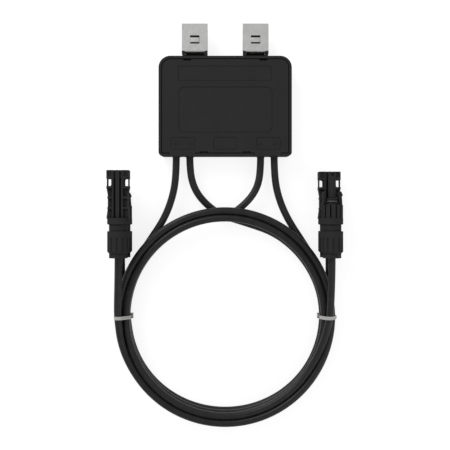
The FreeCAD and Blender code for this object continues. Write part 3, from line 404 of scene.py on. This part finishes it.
def carve(piece, cutter):
    """Cuts one piece by another and throws the cutter away."""
    apply_modifier(piece, "BOOLEAN", operation="DIFFERENCE", solver="EXACT", object=cutter)
    bpy.data.objects.remove(cutter, do_unlink=True)


def hand_over(piece, made, slot_name, *stands_for):
    """Gives a finished piece its material and its body, and hides the nodes that it stands for."""
    piece.data.materials.clear()
    piece.data.materials.append(made)
    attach(piece, BODY)
    if stands_for:
        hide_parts(*stands_for)


def nudge(piece, wanted, shift):
    """Moves the points whose place, in millimetres, answers the question."""
    select_only(piece)
    select_nothing("VERT")
    for point in piece.data.vertices:
        point.select = wanted(point.co / MM)
    bpy.ops.object.mode_set(mode="EDIT")
    bpy.ops.transform.translate(value=[part * MM for part in shift])
    bpy.ops.object.mode_set(mode="OBJECT")


def eased(node, name, width, reshape=None):
    """A copy of a CAD node whose sharp edges are rounded as a mould or press leaves them."""
    mesh = nodes[node].data.copy()
    piece = bpy.data.objects.new(name, mesh)
    bpy.context.scene.collection.objects.link(piece)
    select_only(piece)
    bpy.ops.object.mode_set(mode="EDIT")
    bpy.ops.mesh.select_all(action="SELECT")
    bpy.ops.mesh.remove_doubles(threshold=0.002 * MM)
    bpy.ops.mesh.dissolve_limited(angle_limit=math.radians(0.6))
    bpy.ops.object.mode_set(mode="OBJECT")
    if reshape:
        reshape(piece)
    round_edges(piece, width, use_clamp_overlap=True, miter_outer="MITER_ARC")
    smooth_faces(piece)
    return piece


# Leads

# Where each lead goes before and after its turns, in millimetres, as the CAD has it
LEAD_IN = {
    "input_outer": (
        (-51.4, -62.5, 11.5), (-51.4, -85.65, 11.5), (-54.5, -109.65, 11.4),
        (-64, -135.15, 11.4), (-82.5, -162.15, 11.4), (-99, -188.15, 11.4),
    ),
    "input_inner": (
        (-37.3, -62.5, 11.5), (-37.3, -81.65, 11.5), (-33.9, -100.15, 9.8),
        (-24.5, -115.15, 6.6), (-9, -128.15, 4.2), (3, -133.15, 3.9),
    ),
    "output_inner": (
        (37.3, -62.5, 11.5), (37.3, -81.65, 11.5), (34.6, -100.15, 11.6),
        (25.3, -115.15, 11.4), (9.5, -128.45, 11.4), (-2.5, -133.15, 11.5),
    ),
    "output_outer": (
        (51.4, -62.5, 11.5), (51.4, -85.65, 11.5), (55, -109.65, 11.4),
        (65.2, -134.65, 11.4), (83.5, -162.15, 11.4), (99, -188.15, 11.4),
    ),
}
LEAD_OUT = {
    "input_outer": ((110.3, -221.15, 8.2), (109.2, -185.65, 11.3), (109.2, -148.95, 11.3)),
    "input_inner": ((-109.2, -203.15, 4.6), (-109.2, -185.65, 11.3), (-109.2, -148.95, 11.3)),
    "output_inner": ((108.6, -222.65, 29.2), (109.2, -185.65, 33.9), (109.2, -148.95, 33.9)),
    "output_outer": ((-110.6, -223.15, 30), (-109.2, -185.65, 33.9), (-109.2, -148.95, 33.9)),
}

# The strands are pressed together a little, so that no light shows between them
OUTER, INNER = 110.7, 103.2
LOW, MID, HIGH = 3.8, 11.4, 19.0
# How far the ties' straps lift the strands off the floor
TIED = 1.2

# Each lead's way round the ring: angle from the right-hand side, radius and height, in millimetres
TURNS = {
    "input_outer": (
        (165, OUTER, MID), (180, OUTER, MID + TIED), (195, OUTER, 7.0), (210, OUTER, LOW),
        (270, OUTER - 2.4, LOW), (345, OUTER, LOW), (360, OUTER, LOW + TIED),
    ),
    "input_inner": (
        (75, 99.6, LOW), (60, 101.1, LOW), (30, 102.3, LOW), (15, INNER, LOW), (0, INNER, LOW + TIED),
        (-15, INNER, LOW), (-90, INNER - 2.4, LOW), (-165, INNER, LOW), (-180, INNER, LOW + TIED),
        (-187.5, 105.0, LOW),
    ),
    "output_inner": (
        (105, INNER, MID), (165, INNER, MID), (180, INNER, MID + TIED), (195, INNER, MID),
        (270, INNER - 1.2, MID), (330, INNER, MID), (345, INNER, 15.0), (360, INNER, HIGH + TIED),
        (375, INNER, HIGH), (450, INNER, HIGH), (525, INNER, HIGH), (540, INNER, HIGH + TIED),
        (555, INNER, HIGH), (690, INNER, HIGH), (705, 104.6, 22.4), (720, 107.1, 26.9),
    ),
    "output_outer": (
        (15, 106.0, MID), (0, INNER, MID + TIED), (-15, 109.6, MID), (-30, OUTER, MID),
        (-90, OUTER - 1.2, MID), (-150, OUTER, MID), (-165, OUTER, 14.6), (-180, OUTER, HIGH + TIED),
        (-195, OUTER, HIGH), (-270, OUTER, HIGH), (-345, OUTER, HIGH), (-360, OUTER, HIGH + TIED),
        (-375, OUTER, HIGH), (-450, OUTER, HIGH), (-510, OUTER, HIGH), (-525, OUTER, 22.4),
        (-540, 109.9, 27.6),
    ),
}


def ring_points(keys, step, drop):
    """Control points of a lead's turns.

    A spline of this order cuts inside its points, so they stand a little outside.
    """
    direction = 1 if keys[-1][0] > keys[0][0] else -1
    outside = 1 / math.cos(math.radians(step / 2))
    points = []
    for (start, radius, height), (end, next_radius, next_height) in zip(keys, keys[1:]):
        count = max(1, round(abs(end - start) / step))
        for i in range(count):
            share = i / count
            blend = share * share * (3 - 2 * share)
            angle = math.radians(start + direction * abs(end - start) * share)
            away = (radius + (next_radius - radius) * blend) * outside
            points.append((
                away * math.cos(angle),
                away * math.sin(angle) - drop,
                height + (next_height - height) * blend,
            ))
    angle, radius, height = keys[-1]
    away = radius * outside
    points.append((away * math.cos(math.radians(angle)), away * math.sin(math.radians(angle)) - drop, height))
    return points


def lead_curve(name, points, radius, made):
    """One open smooth spline with the given control points, in millimetres."""
    curve = bpy.data.curves.new(name, "CURVE")
    curve.dimensions = "3D"
    spline = curve.splines.new("NURBS")
    spline.points.add(len(points) - 1)
    for held, point in zip(spline.points, points):
        held.co = (*(part * MM for part in point), 1.0)
    spline.order_u = 3
    spline.use_endpoint_u = True
    curve.resolution_u = 8
    curve.bevel_depth = radius
    curve.bevel_resolution = 9
    curve.use_fill_caps = True
    curve.materials.append(made)
    lead = bpy.data.objects.new(name, curve)
    bpy.context.scene.collection.objects.link(lead)
    return lead


# Where the two soft lights stand, in metres, and how wide they are
KEY_PLACE = (-0.9, 1.0, 0.85)
FILL_PLACE = (0.9, -0.9, 1.0)
LAMP_WIDTH = 1.0


class OPTIMIZER_OT_studio(bpy.types.Operator):
    """Sets up the camera, a plain pale floor and soft lights"""

    bl_idname = "optimizer.studio"
    bl_label = "Set Up Studio"

    def execute(self, context):
        held = settings(context, "studio")
        bpy.ops.object.select_all(action="DESELECT")
        bpy.ops.mesh.primitive_plane_add(size=held.floor_size, location=(0, 0, 0))
        floor = context.object
        floor.name = "floor"
        made, shader = material("pale_floor", held.floor_colour, 0.9, specular=0.1)
        haze = noise(made, place(made), 0.4, 3.0)
        tone = ramp(made, haze, shade_of(held.floor_colour, 0.99), held.floor_colour)
        link(made, tone, "Color", shader, "Base Color")
        shader.inputs["Emission Color"].default_value = (1.0, 1.0, 1.0, 1.0)
        shader.inputs["Emission Strength"].default_value = held.floor_glow
        floor.data.materials.append(made)

        camera = bpy.data.objects.new("camera", bpy.data.cameras.new("camera"))
        camera.data.lens = held.lens
        camera.data.sensor_width = 36.0
        camera.location = (held.aim_across, held.aim_along, held.height)
        context.scene.collection.objects.link(camera)
        context.scene.camera = camera

        world = bpy.data.worlds.new("soft_sky")
        world.use_nodes = True
        sky = world.node_tree.nodes["Background"]
        sky.inputs["Color"].default_value = (1.0, 1.0, 1.0, 1.0)
        sky.inputs["Strength"].default_value = held.sky
        context.scene.world = world
        lamps = (("key_light", KEY_PLACE, held.key), ("fill_light", FILL_PLACE, held.fill))
        aim = Vector((0, held.aim_along, 0))
        for name, where, watts in lamps:
            lamp = bpy.data.objects.new(name, bpy.data.lights.new(name, "AREA"))
            lamp.data.size = LAMP_WIDTH
            lamp.data.energy = watts
            lamp.location = where
            lamp.rotation_euler = (aim - Vector(where)).to_track_quat("-Z", "Y").to_euler()
            context.scene.collection.objects.link(lamp)
        context.scene.view_settings.view_transform = "Standard"
        return {"FINISHED"}


class OPTIMIZER_OT_leads(bpy.types.Operator):
    """Lays the four leads on their routes round the ring and into their connectors"""

    bl_idname = "optimizer.leads"
    bl_label = "Lay Leads"

    def execute(self, context):
        held = settings(context, "leads")
        made = cable_jacket("lead_jacket", held.jacket_colour)
        step = 360 / held.points_a_turn
        for name, keys in TURNS.items():
            points = [*LEAD_IN[name], *ring_points(keys, step, held.ring_drop / MM), *LEAD_OUT[name]]
            lead = lead_curve(name + "_lead", points, held.diameter / 2, made)
            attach(lead, BODY)
            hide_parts(name + "_lead_start", name + "_lead_end", "lead_coil")
        finish(made, "lead_coil", *(name + part for name in TURNS for part in ("_lead_start", "_lead_end")))
        return {"FINISHED"}


# Panels on the lid: left, right, low, high and corner rounding, in millimetres
LID_PANELS = (
    (-48.8, 47.8, 8.5, 23.8, 1.0),
    (-48.3, 48.8, -45.3, 2.1, 6.0),
    (-56.7, -31.4, -62.95, -50.15, 2.4),
    (-12.3, 12.4, -62.95, -50.15, 2.4),
    (32.0, 57.3, -62.95, -50.15, 2.4),
)
# How high the panels lie, and how deep the line round each is
PANEL_FLOOR = 22.55
LINE_DEPTH = 0.1
# Signs in the outer small panels: name, place across, and the ways that their strokes run
LEFT_RIGHT = ((1, 0), (-1, 0))
ALL_WAYS = (*LEFT_RIGHT, (0, 1), (0, -1))
LID_SIGNS = (
    ("input_plus", -51.5, ALL_WAYS),
    ("input_minus", -35.5, LEFT_RIGHT),
    ("output_minus", 35.5, LEFT_RIGHT),
    ("output_plus", 51.5, ALL_WAYS),
)
SIGN_LINE = -57.0
# Slots over the snap hooks: place across, and their edges along
HOOK_SLOTS = ((-39.5, 29.35, 31.0), (39.5, 29.35, 31.0), (-22.1, -66.3, -64.8), (22.1, -66.3, -64.8))
SLOT_HALF = 4.1
SLOT_BOTTOM, SLOT_TOP = 18, 24
# How high the hooks' tops are in the CAD, and how much lower they are set
HOOK_TOP = 21.3
HOOK_SINK = 1.6
# Middle of each clip, and where the necks that hold the clips end
CLIP_PLACE = 31.9
NECK_EDGE = 37.5
# Sill in each neck: how far its edge is past the neck's, half its width, its depth, height and lip
SILL_PAST = 1.7
SILL_HALF, SILL_DEPTH = 10.4, 2.6
SILL_BOTTOM, SILL_TOP = 5.1, 7.3
SILL_RIM, SILL_LIP = 0.35, 1.2
# Dark wedge in each clip, put there as painted shade behind its bridge's window: how far it starts past the neck,
# half its width, its length, height and tip
SHADE_WEDGE_PAST = 6.6
SHADE_WEDGE_HALF, SHADE_WEDGE_LENGTH = 4.6, 14.0
SHADE_WEDGE_BOTTOM, SHADE_WEDGE_TOP = 9.5, 13.5
SHADE_WEDGE_TIP, SHADE_WEDGE_TAPER = 3, (0.8, 1, 0.45)


def panel_line(left, right, low, high, rounding, width):
    """A thin rounded frame that is cut into the lid round a panel."""
    bpy.ops.object.select_all(action="DESELECT")
    middle = ((left + right) / 2 * MM, (low + high) / 2 * MM, (PANEL_FLOOR - LINE_DEPTH) * MM)
    bpy.ops.mesh.primitive_plane_add(size=1, location=middle)
    frame_piece = bpy.context.object
    frame_piece.scale = ((right - left) * MM, (high - low) * MM, 1)
    settle(frame_piece)
    bpy.ops.object.mode_set(mode="EDIT")
    bpy.ops.mesh.select_all(action="SELECT")
    bpy.ops.mesh.bevel(offset=rounding * MM, segments=6, affect="VERTICES")
    bpy.ops.mesh.select_all(action="SELECT")
    bpy.ops.mesh.inset(thickness=width * MM)
    bpy.ops.mesh.delete(type="FACE")
    bpy.ops.mesh.select_all(action="SELECT")
    draw_out(0, 0, 1.0)
    bpy.ops.object.mode_set(mode="OBJECT")
    recalculate(frame_piece)
    return frame_piece


def lid_sign(name, across, ways, held):
    """A raised plus or minus sign: a small block whose sides are drawn out into strokes."""
    stroke, size = held.mark_stroke / MM, held.mark_size / MM
    top = PANEL_FLOOR + held.mark_height / MM
    low = (across - stroke / 2, SIGN_LINE - stroke / 2, PANEL_FLOOR - LINE_DEPTH)
    high = (across + stroke / 2, SIGN_LINE + stroke / 2, top)
    sign = new_block(name, low, high)
    for x, y in ways:
        select_only(sign)
        pick_faces(sign, lambda middle, normal: (
            normal.x * x + normal.y * y > FACING
            and abs((middle.x - across * MM) * y + (middle.y - SIGN_LINE * MM) * x) < stroke * 0.1 * MM
        ))
        reach = (size - stroke) / 2
        draw_out(x * reach, y * reach, 0)
        bpy.ops.object.mode_set(mode="OBJECT")
    recalculate(sign)
    round_edges(sign, 0.07 * MM)
    smooth_faces(sign)
    return sign


def neck_sill(name, middle):
    """A block with a lip that closes the gap under a clip's bend."""
    edge = NECK_EDGE + SILL_PAST
    low = (middle - SILL_HALF, edge - SILL_DEPTH, SILL_BOTTOM)
    high = (middle + SILL_HALF, edge, SILL_TOP)
    sill = new_block(name, low, high)
    select_only(sill)
    pick_faces(sill, lambda middle, normal: normal.y > FACING)
    bpy.ops.mesh.inset(thickness=SILL_RIM * MM)
    draw_out(0, SILL_LIP, 0)
    bpy.ops.object.mode_set(mode="OBJECT")
    round_edges(sill, 0.2 * MM)
    smooth_faces(sill)
    return sill


def clip_shade_wedge(name, middle):
    """A dark wedge of housing plastic inside a clip: painted shade behind the window of its lanced bridge."""
    start = NECK_EDGE + SHADE_WEDGE_PAST
    low = (middle - SHADE_WEDGE_HALF, start, SHADE_WEDGE_BOTTOM)
    high = (middle + SHADE_WEDGE_HALF, start + SHADE_WEDGE_LENGTH, SHADE_WEDGE_TOP)
    shade_wedge = new_block(name, low, high)
    select_only(shade_wedge)
    pick_faces(shade_wedge, lambda middle, normal: normal.y > FACING)
    draw_out(0, SHADE_WEDGE_TIP, 0)
    bpy.ops.transform.resize(value=SHADE_WEDGE_TAPER)
    bpy.ops.object.mode_set(mode="OBJECT")
    round_edges(shade_wedge, 0.3 * MM, 20)
    smooth_faces(shade_wedge)
    return shade_wedge


def lower_hooks(tray):
    """Sets the snap hooks a little deeper in their slots."""
    nudge(tray, lambda point: abs(point.z - HOOK_TOP) < 0.03, (0, 0, -HOOK_SINK))


class OPTIMIZER_OT_housing(bpy.types.Operator):
    """Gives the box, its lid and the lead bushes their moulded finish"""

    bl_idname = "optimizer.housing"
    bl_label = "Finish Housing"

    def execute(self, context):
        held = settings(context, "housing")
        made = moulded_plastic("moulded_housing", held.plastic_colour, held.grain)
        finish(made, "housing_body", "front_lid")
        tray = eased("housing_body", "moulded_tray", held.edge, lower_hooks)
        hand_over(tray, made, "housing_plastic", "housing_body")
        lid = eased("front_lid", "snap_in_lid", held.edge * 0.7)
        for left, right, low, high, rounding in LID_PANELS:
            carve(lid, panel_line(left, right, low, high, rounding, held.line_width / MM))
        for across, low, high in HOOK_SLOTS:
            near, far = (across - SLOT_HALF, low, SLOT_BOTTOM), (across + SLOT_HALF, high, SLOT_TOP)
            carve(lid, new_block("hook_slot", near, far))
        smooth_faces(lid, 30)
        hand_over(lid, made, "housing_plastic", "front_lid")
        for side, middle in (("left", -CLIP_PLACE), ("right", CLIP_PLACE)):
            hand_over(neck_sill("neck_sill_" + side, middle), made, "housing_plastic")
            # A dark wedge in each clip stands for the shade behind its bridge's window.
            hand_over(clip_shade_wedge("clip_shade_wedge_" + side, middle), made, "housing_plastic")
        for name, across, ways in LID_SIGNS:
            hand_over(lid_sign(name, across, ways, held), made, "housing_plastic")
        seal = rubber("bush_rubber", settings(context, "connectors").seal_colour)
        finish(seal, *(name + "_grommet" for name in TURNS))
        return {"FINISHED"}


# Where a clip's lanced bridge is: its edges along, half its width, what it is above, and its shift
BRIDGE_NEAR, BRIDGE_FAR = 50.5, 55.8
BRIDGE_HALF = 5.3
BRIDGE_ABOVE = 13.5
BRIDGE_SHIFT = 0.6


def settle_bridge(clip):
    """Lets the lanced bridge lie a little nearer to the bend in its window."""
    nudge(clip, lambda point: (
        BRIDGE_NEAR < point.y < BRIDGE_FAR
        and abs(abs(point.x) - CLIP_PLACE) < BRIDGE_HALF
        and point.z > BRIDGE_ABOVE
    ), (0, -BRIDGE_SHIFT, 0))


class OPTIMIZER_OT_clips(bpy.types.Operator):
    """Gives the two spring clips their rolled steel"""

    bl_idname = "optimizer.clips"
    bl_label = "Finish Clips"

    def execute(self, context):
        made = brushed_steel("spring_steel", settings(context, "metal").steel_colour)
        finish(made, "clip_left", "clip_right")
        for side in ("left", "right"):
            clip = eased("clip_" + side, "spring_clip_" + side, 0.12 * MM, settle_bridge)
            hand_over(clip, made, "spring_steel", "clip_" + side)
        return {"FINISHED"}


# A shell's arm slots: how far their outer faces are from the axis, where they start, and what the wall gains
SLOT_FACE = 10.6
SLOT_START = 39
WALL_GAIN = 0.3
# A body's latch arms: how far their inner faces are from the axis, where the arms and their bend start,
# how far from the axis an arm is at the least, the rib's height and width, and how far the arms spring in
ARM_FACE = 8.6
ARM_START, BEND_START = 15, 20.3
ARM_FROM_AXIS = 6.7
RIB_HEIGHT, RIB_SHARE = 1.7, 0.55
ARM_SPRING = 0.6


def thicken_windows(shell):
    """Makes the thin walls outside a shell's two arm slots a little thicker."""
    for way in (-1, 1):
        nudge(shell, lambda point: (
            abs((abs(point.x) - CONNECTOR_AXIS) * way - SLOT_FACE) < 0.02
            and point.y > CONNECTOR_LINE + SLOT_START
        ), (-WALL_GAIN * way * side_of(shell), 0, 0))


def stiffen_arms(body):
    """Gives each latch arm a rib on its inner face, and springs the arms in a little."""
    axis = CONNECTOR_AXIS * side_of(body)
    for way in (-1, 1):
        pick_faces(body, lambda middle, normal: (
            normal.x * way < -FACING
            and abs((middle.x / MM - axis) * way - ARM_FACE) < 0.05
            and middle.y / MM > CONNECTOR_LINE + ARM_START
        ))
        draw_out(-RIB_HEIGHT * way, 0, 0)
        bpy.ops.transform.resize(value=(1, 1, RIB_SHARE))
        bpy.ops.object.mode_set(mode="OBJECT")
        nudge(body, lambda point: (
            (point.x - axis) * way > ARM_FROM_AXIS and point.y > CONNECTOR_LINE + BEND_START
        ), (-ARM_SPRING * way, 0, 0))


def side_of(piece):
    """Minus one for a piece on the left and one for a piece on the right."""
    return -1 if piece.data.vertices[0].co.x < 0 else 1


def each(sides, part):
    """The names of one part of the connectors on these sides."""
    return [side + part for side in sides]


# Copies with eased edges: the sides they are on, the node's name, the piece's name and how it is reshaped
CONNECTOR_COPIES = (
    (CONNECTORS, "_cap_nut", "_fluted_nut", None),
    (PIN_SIDES, "_pin_shell", "_shell", thicken_windows),
    (SOCKET_SIDES, "_socket_body", "_latch_body", stiffen_arms),
)


class OPTIMIZER_OT_connectors(bpy.types.Operator):
    """Finishes the connectors' shells, seals and contacts"""

    bl_idname = "optimizer.connectors"
    bl_label = "Finish Connectors"

    def execute(self, context):
        held = settings(context, "connectors")
        shell = moulded_plastic("connector_plastic", held.shell_colour, 0.25 * MM, 0.82)
        claw = moulded_plastic("claw_plastic", shade_of(held.shell_colour, 1.6), 0.25 * MM, 0.5)
        seal = rubber("seal_rubber", held.seal_colour)
        metal = plated_metal("contact_plating", settings(context, "metal").contact_colour)
        # The ring seals' rubber is five times lighter than the other seals: a painted highlight of a glossy seal.
        ring = rubber("ring_rubber_painted_highlight", shade_of(held.seal_colour, 5.0))
        finish(claw, *each(CONNECTORS, "_gland_claw"))
        finish(seal, *each(CONNECTORS, "_gland_seal"))
        finish(ring, *each(SOCKET_SIDES, "_ring_seal"))
        finish(metal, *each(PIN_SIDES, "_contact_pin"), *each(SOCKET_SIDES, "_contact_socket"))
        for sides, node_part, piece_part, reshape in CONNECTOR_COPIES:
            finish(shell, *each(sides, node_part))
            for side in sides:
                piece = eased(side + node_part, side + piece_part, held.edge, reshape)
                hand_over(piece, shell, "connector_plastic", side + node_part)
        return {"FINISHED"}


# A tie's head: how high its top is, and its slot's rim and depth
HEAD_TOP = 15.4
HEAD_RIM, HEAD_SLOT = 0.3, 2.2
# A tie's cut tail: its faces across, edges along and height, and its teeth
TAIL_INSIDE, TAIL_OUTSIDE = 97.1, 97.75
TAIL_NEAR, TAIL_FAR = -237.6, -234.6
TAIL_BOTTOM, TAIL_TOP = 12.9, 14.2
TEETH, TOOTH_LEAN, TOOTH_PITCH = 6, 0.16, 0.45


def tie_tail(name, left, right):
    """The cut end of a tie's strap, standing out of its head with its fine teeth."""
    tail = new_block(name, (left, TAIL_NEAR, TAIL_BOTTOM), (right, TAIL_FAR, TAIL_TOP))
    for step in range(TEETH):
        pick_faces(tail, lambda middle, normal: normal.z > FACING)
        draw_out(TOOTH_LEAN if step % 2 else -TOOTH_LEAN, 0, TOOTH_PITCH)
        bpy.ops.object.mode_set(mode="OBJECT")
    round_edges(tail, 0.08 * MM, 25)
    smooth_faces(tail)
    return tail


class OPTIMIZER_OT_ties(bpy.types.Operator):
    """Gives the cable ties their nylon"""

    bl_idname = "optimizer.ties"
    bl_label = "Finish Cable Ties"

    def execute(self, context):
        made = tie_nylon("tie_nylon", settings(context, "ties").nylon_colour)
        finish(made, "left_tie", "right_tie")
        for side, way in (("left", -1), ("right", 1)):
            tie = eased(side + "_tie", side + "_toothed_tie", 0.12 * MM)
            pick_faces(tie, lambda middle, normal: normal.z > FACING and abs(middle.z / MM - HEAD_TOP) < 0.03)
            bpy.ops.mesh.inset(thickness=HEAD_RIM * MM)
            draw_out(0, 0, -HEAD_SLOT)
            bpy.ops.object.mode_set(mode="OBJECT")
            hand_over(tie, made, "tie_nylon", side + "_tie")
            near, far = sorted((TAIL_INSIDE * way, TAIL_OUTSIDE * way))
            hand_over(tie_tail(side + "_tie_tail", near, far), made, "tie_nylon")
        return {"FINISHED"}


# Finishes of the inner parts: name, two tones, grain in millimetres, roughness, metallic share and nodes
INNER_FINISHES = (
    ("board_laminate", (0.01, 0.09, 0.03), (0.015, 0.13, 0.045), 2, 0.4, 0.0, ("circuit_board",)),
    ("ferrite", (0.03, 0.03, 0.032), (0.06, 0.06, 0.062), 0.5, 0.75, 0.0, ("inductor_core", "signal_transformer")),
    ("enamelled_copper", (0.45, 0.16, 0.05), (0.6, 0.24, 0.09), 1, 0.3, 0.8, ("inductor_winding",)),
    ("film_case", (0.30, 0.05, 0.03), (0.36, 0.07, 0.04), 3, 0.35, 0.0, ("input_capacitors", "output_capacitors")),
    (
        "chip_epoxy", (0.012, 0.012, 0.013), (0.022, 0.022, 0.023), 0.4, 0.6, 0.0,
        ("controller_chip", "power_transistors"),
    ),
    ("spreader_aluminium", (0.6, 0.6, 0.61), (0.7, 0.7, 0.71), 1, 0.4, 1.0, ("heat_spreader",)),
    ("pad_silicone", (0.45, 0.22, 0.25), (0.52, 0.27, 0.3), 1, 0.7, 0.0, ("thermal_pad",)),
    ("potting_silicone", (0.03, 0.03, 0.033), (0.05, 0.05, 0.053), 5, 0.35, 0.0, ("potting_compound",)),
)


class OPTIMIZER_OT_inside(bpy.types.Operator):
    """Finishes the parts inside the box"""

    bl_idname = "optimizer.inside"
    bl_label = "Finish Inner Parts"

    def execute(self, context):
        metal = plated_metal("terminal_plating", settings(context, "metal").contact_colour)
        finish(metal, "lead_terminals")
        for name, low, high, grain, roughness, metallic, parts in INNER_FINISHES:
            finish(speckled(name, low, high, grain * MM, roughness, metallic), *parts)
        return {"FINISHED"}


class OPTIMIZER_PT_panel(bpy.types.Panel):
    """Lists the steps that build the picture"""

    bl_label = "Power Optimizer"
    bl_idname = "OPTIMIZER_PT_panel"
    bl_space_type = "VIEW_3D"
    bl_region_type = "UI"
    bl_category = "Optimizer"

    def draw(self, context):
        for step in STEPS:
            self.layout.operator(step.bl_idname)
        for name, group in GROUPS.items():
            box = self.layout.box()
            box.label(text=name.title())
            held = settings(context, name)
            for key in group.__annotations__:
                box.prop(held, key)


GROUPS = {
    "studio": StudioSettings,
    "leads": LeadSettings,
    "housing": HousingSettings,
    "metal": MetalSettings,
    "connectors": ConnectorSettings,
    "ties": TieSettings,
}
STEPS = (
    OPTIMIZER_OT_studio,
    OPTIMIZER_OT_housing,
    OPTIMIZER_OT_clips,
    OPTIMIZER_OT_connectors,
    OPTIMIZER_OT_leads,
    OPTIMIZER_OT_ties,
    OPTIMIZER_OT_inside,
)


def register():
    for made in (*GROUPS.values(), *STEPS, OPTIMIZER_PT_panel):
        bpy.utils.register_class(made)
    for name, group in GROUPS.items():
        setattr(bpy.types.Scene, "optimizer_" + name, PointerProperty(type=group))


def unregister():
    for name in GROUPS:
        delattr(bpy.types.Scene, "optimizer_" + name)
    for made in reversed((*GROUPS.values(), *STEPS, OPTIMIZER_PT_panel)):
        bpy.utils.unregister_class(made)


def main():
    register()
    bpy.ops.optimizer.studio()
    bpy.ops.optimizer.housing()
    bpy.ops.optimizer.clips()
    bpy.ops.optimizer.connectors()
    bpy.ops.optimizer.leads()
    bpy.ops.optimizer.ties()
    bpy.ops.optimizer.inside()


if __name__ == "__main__":
    main()
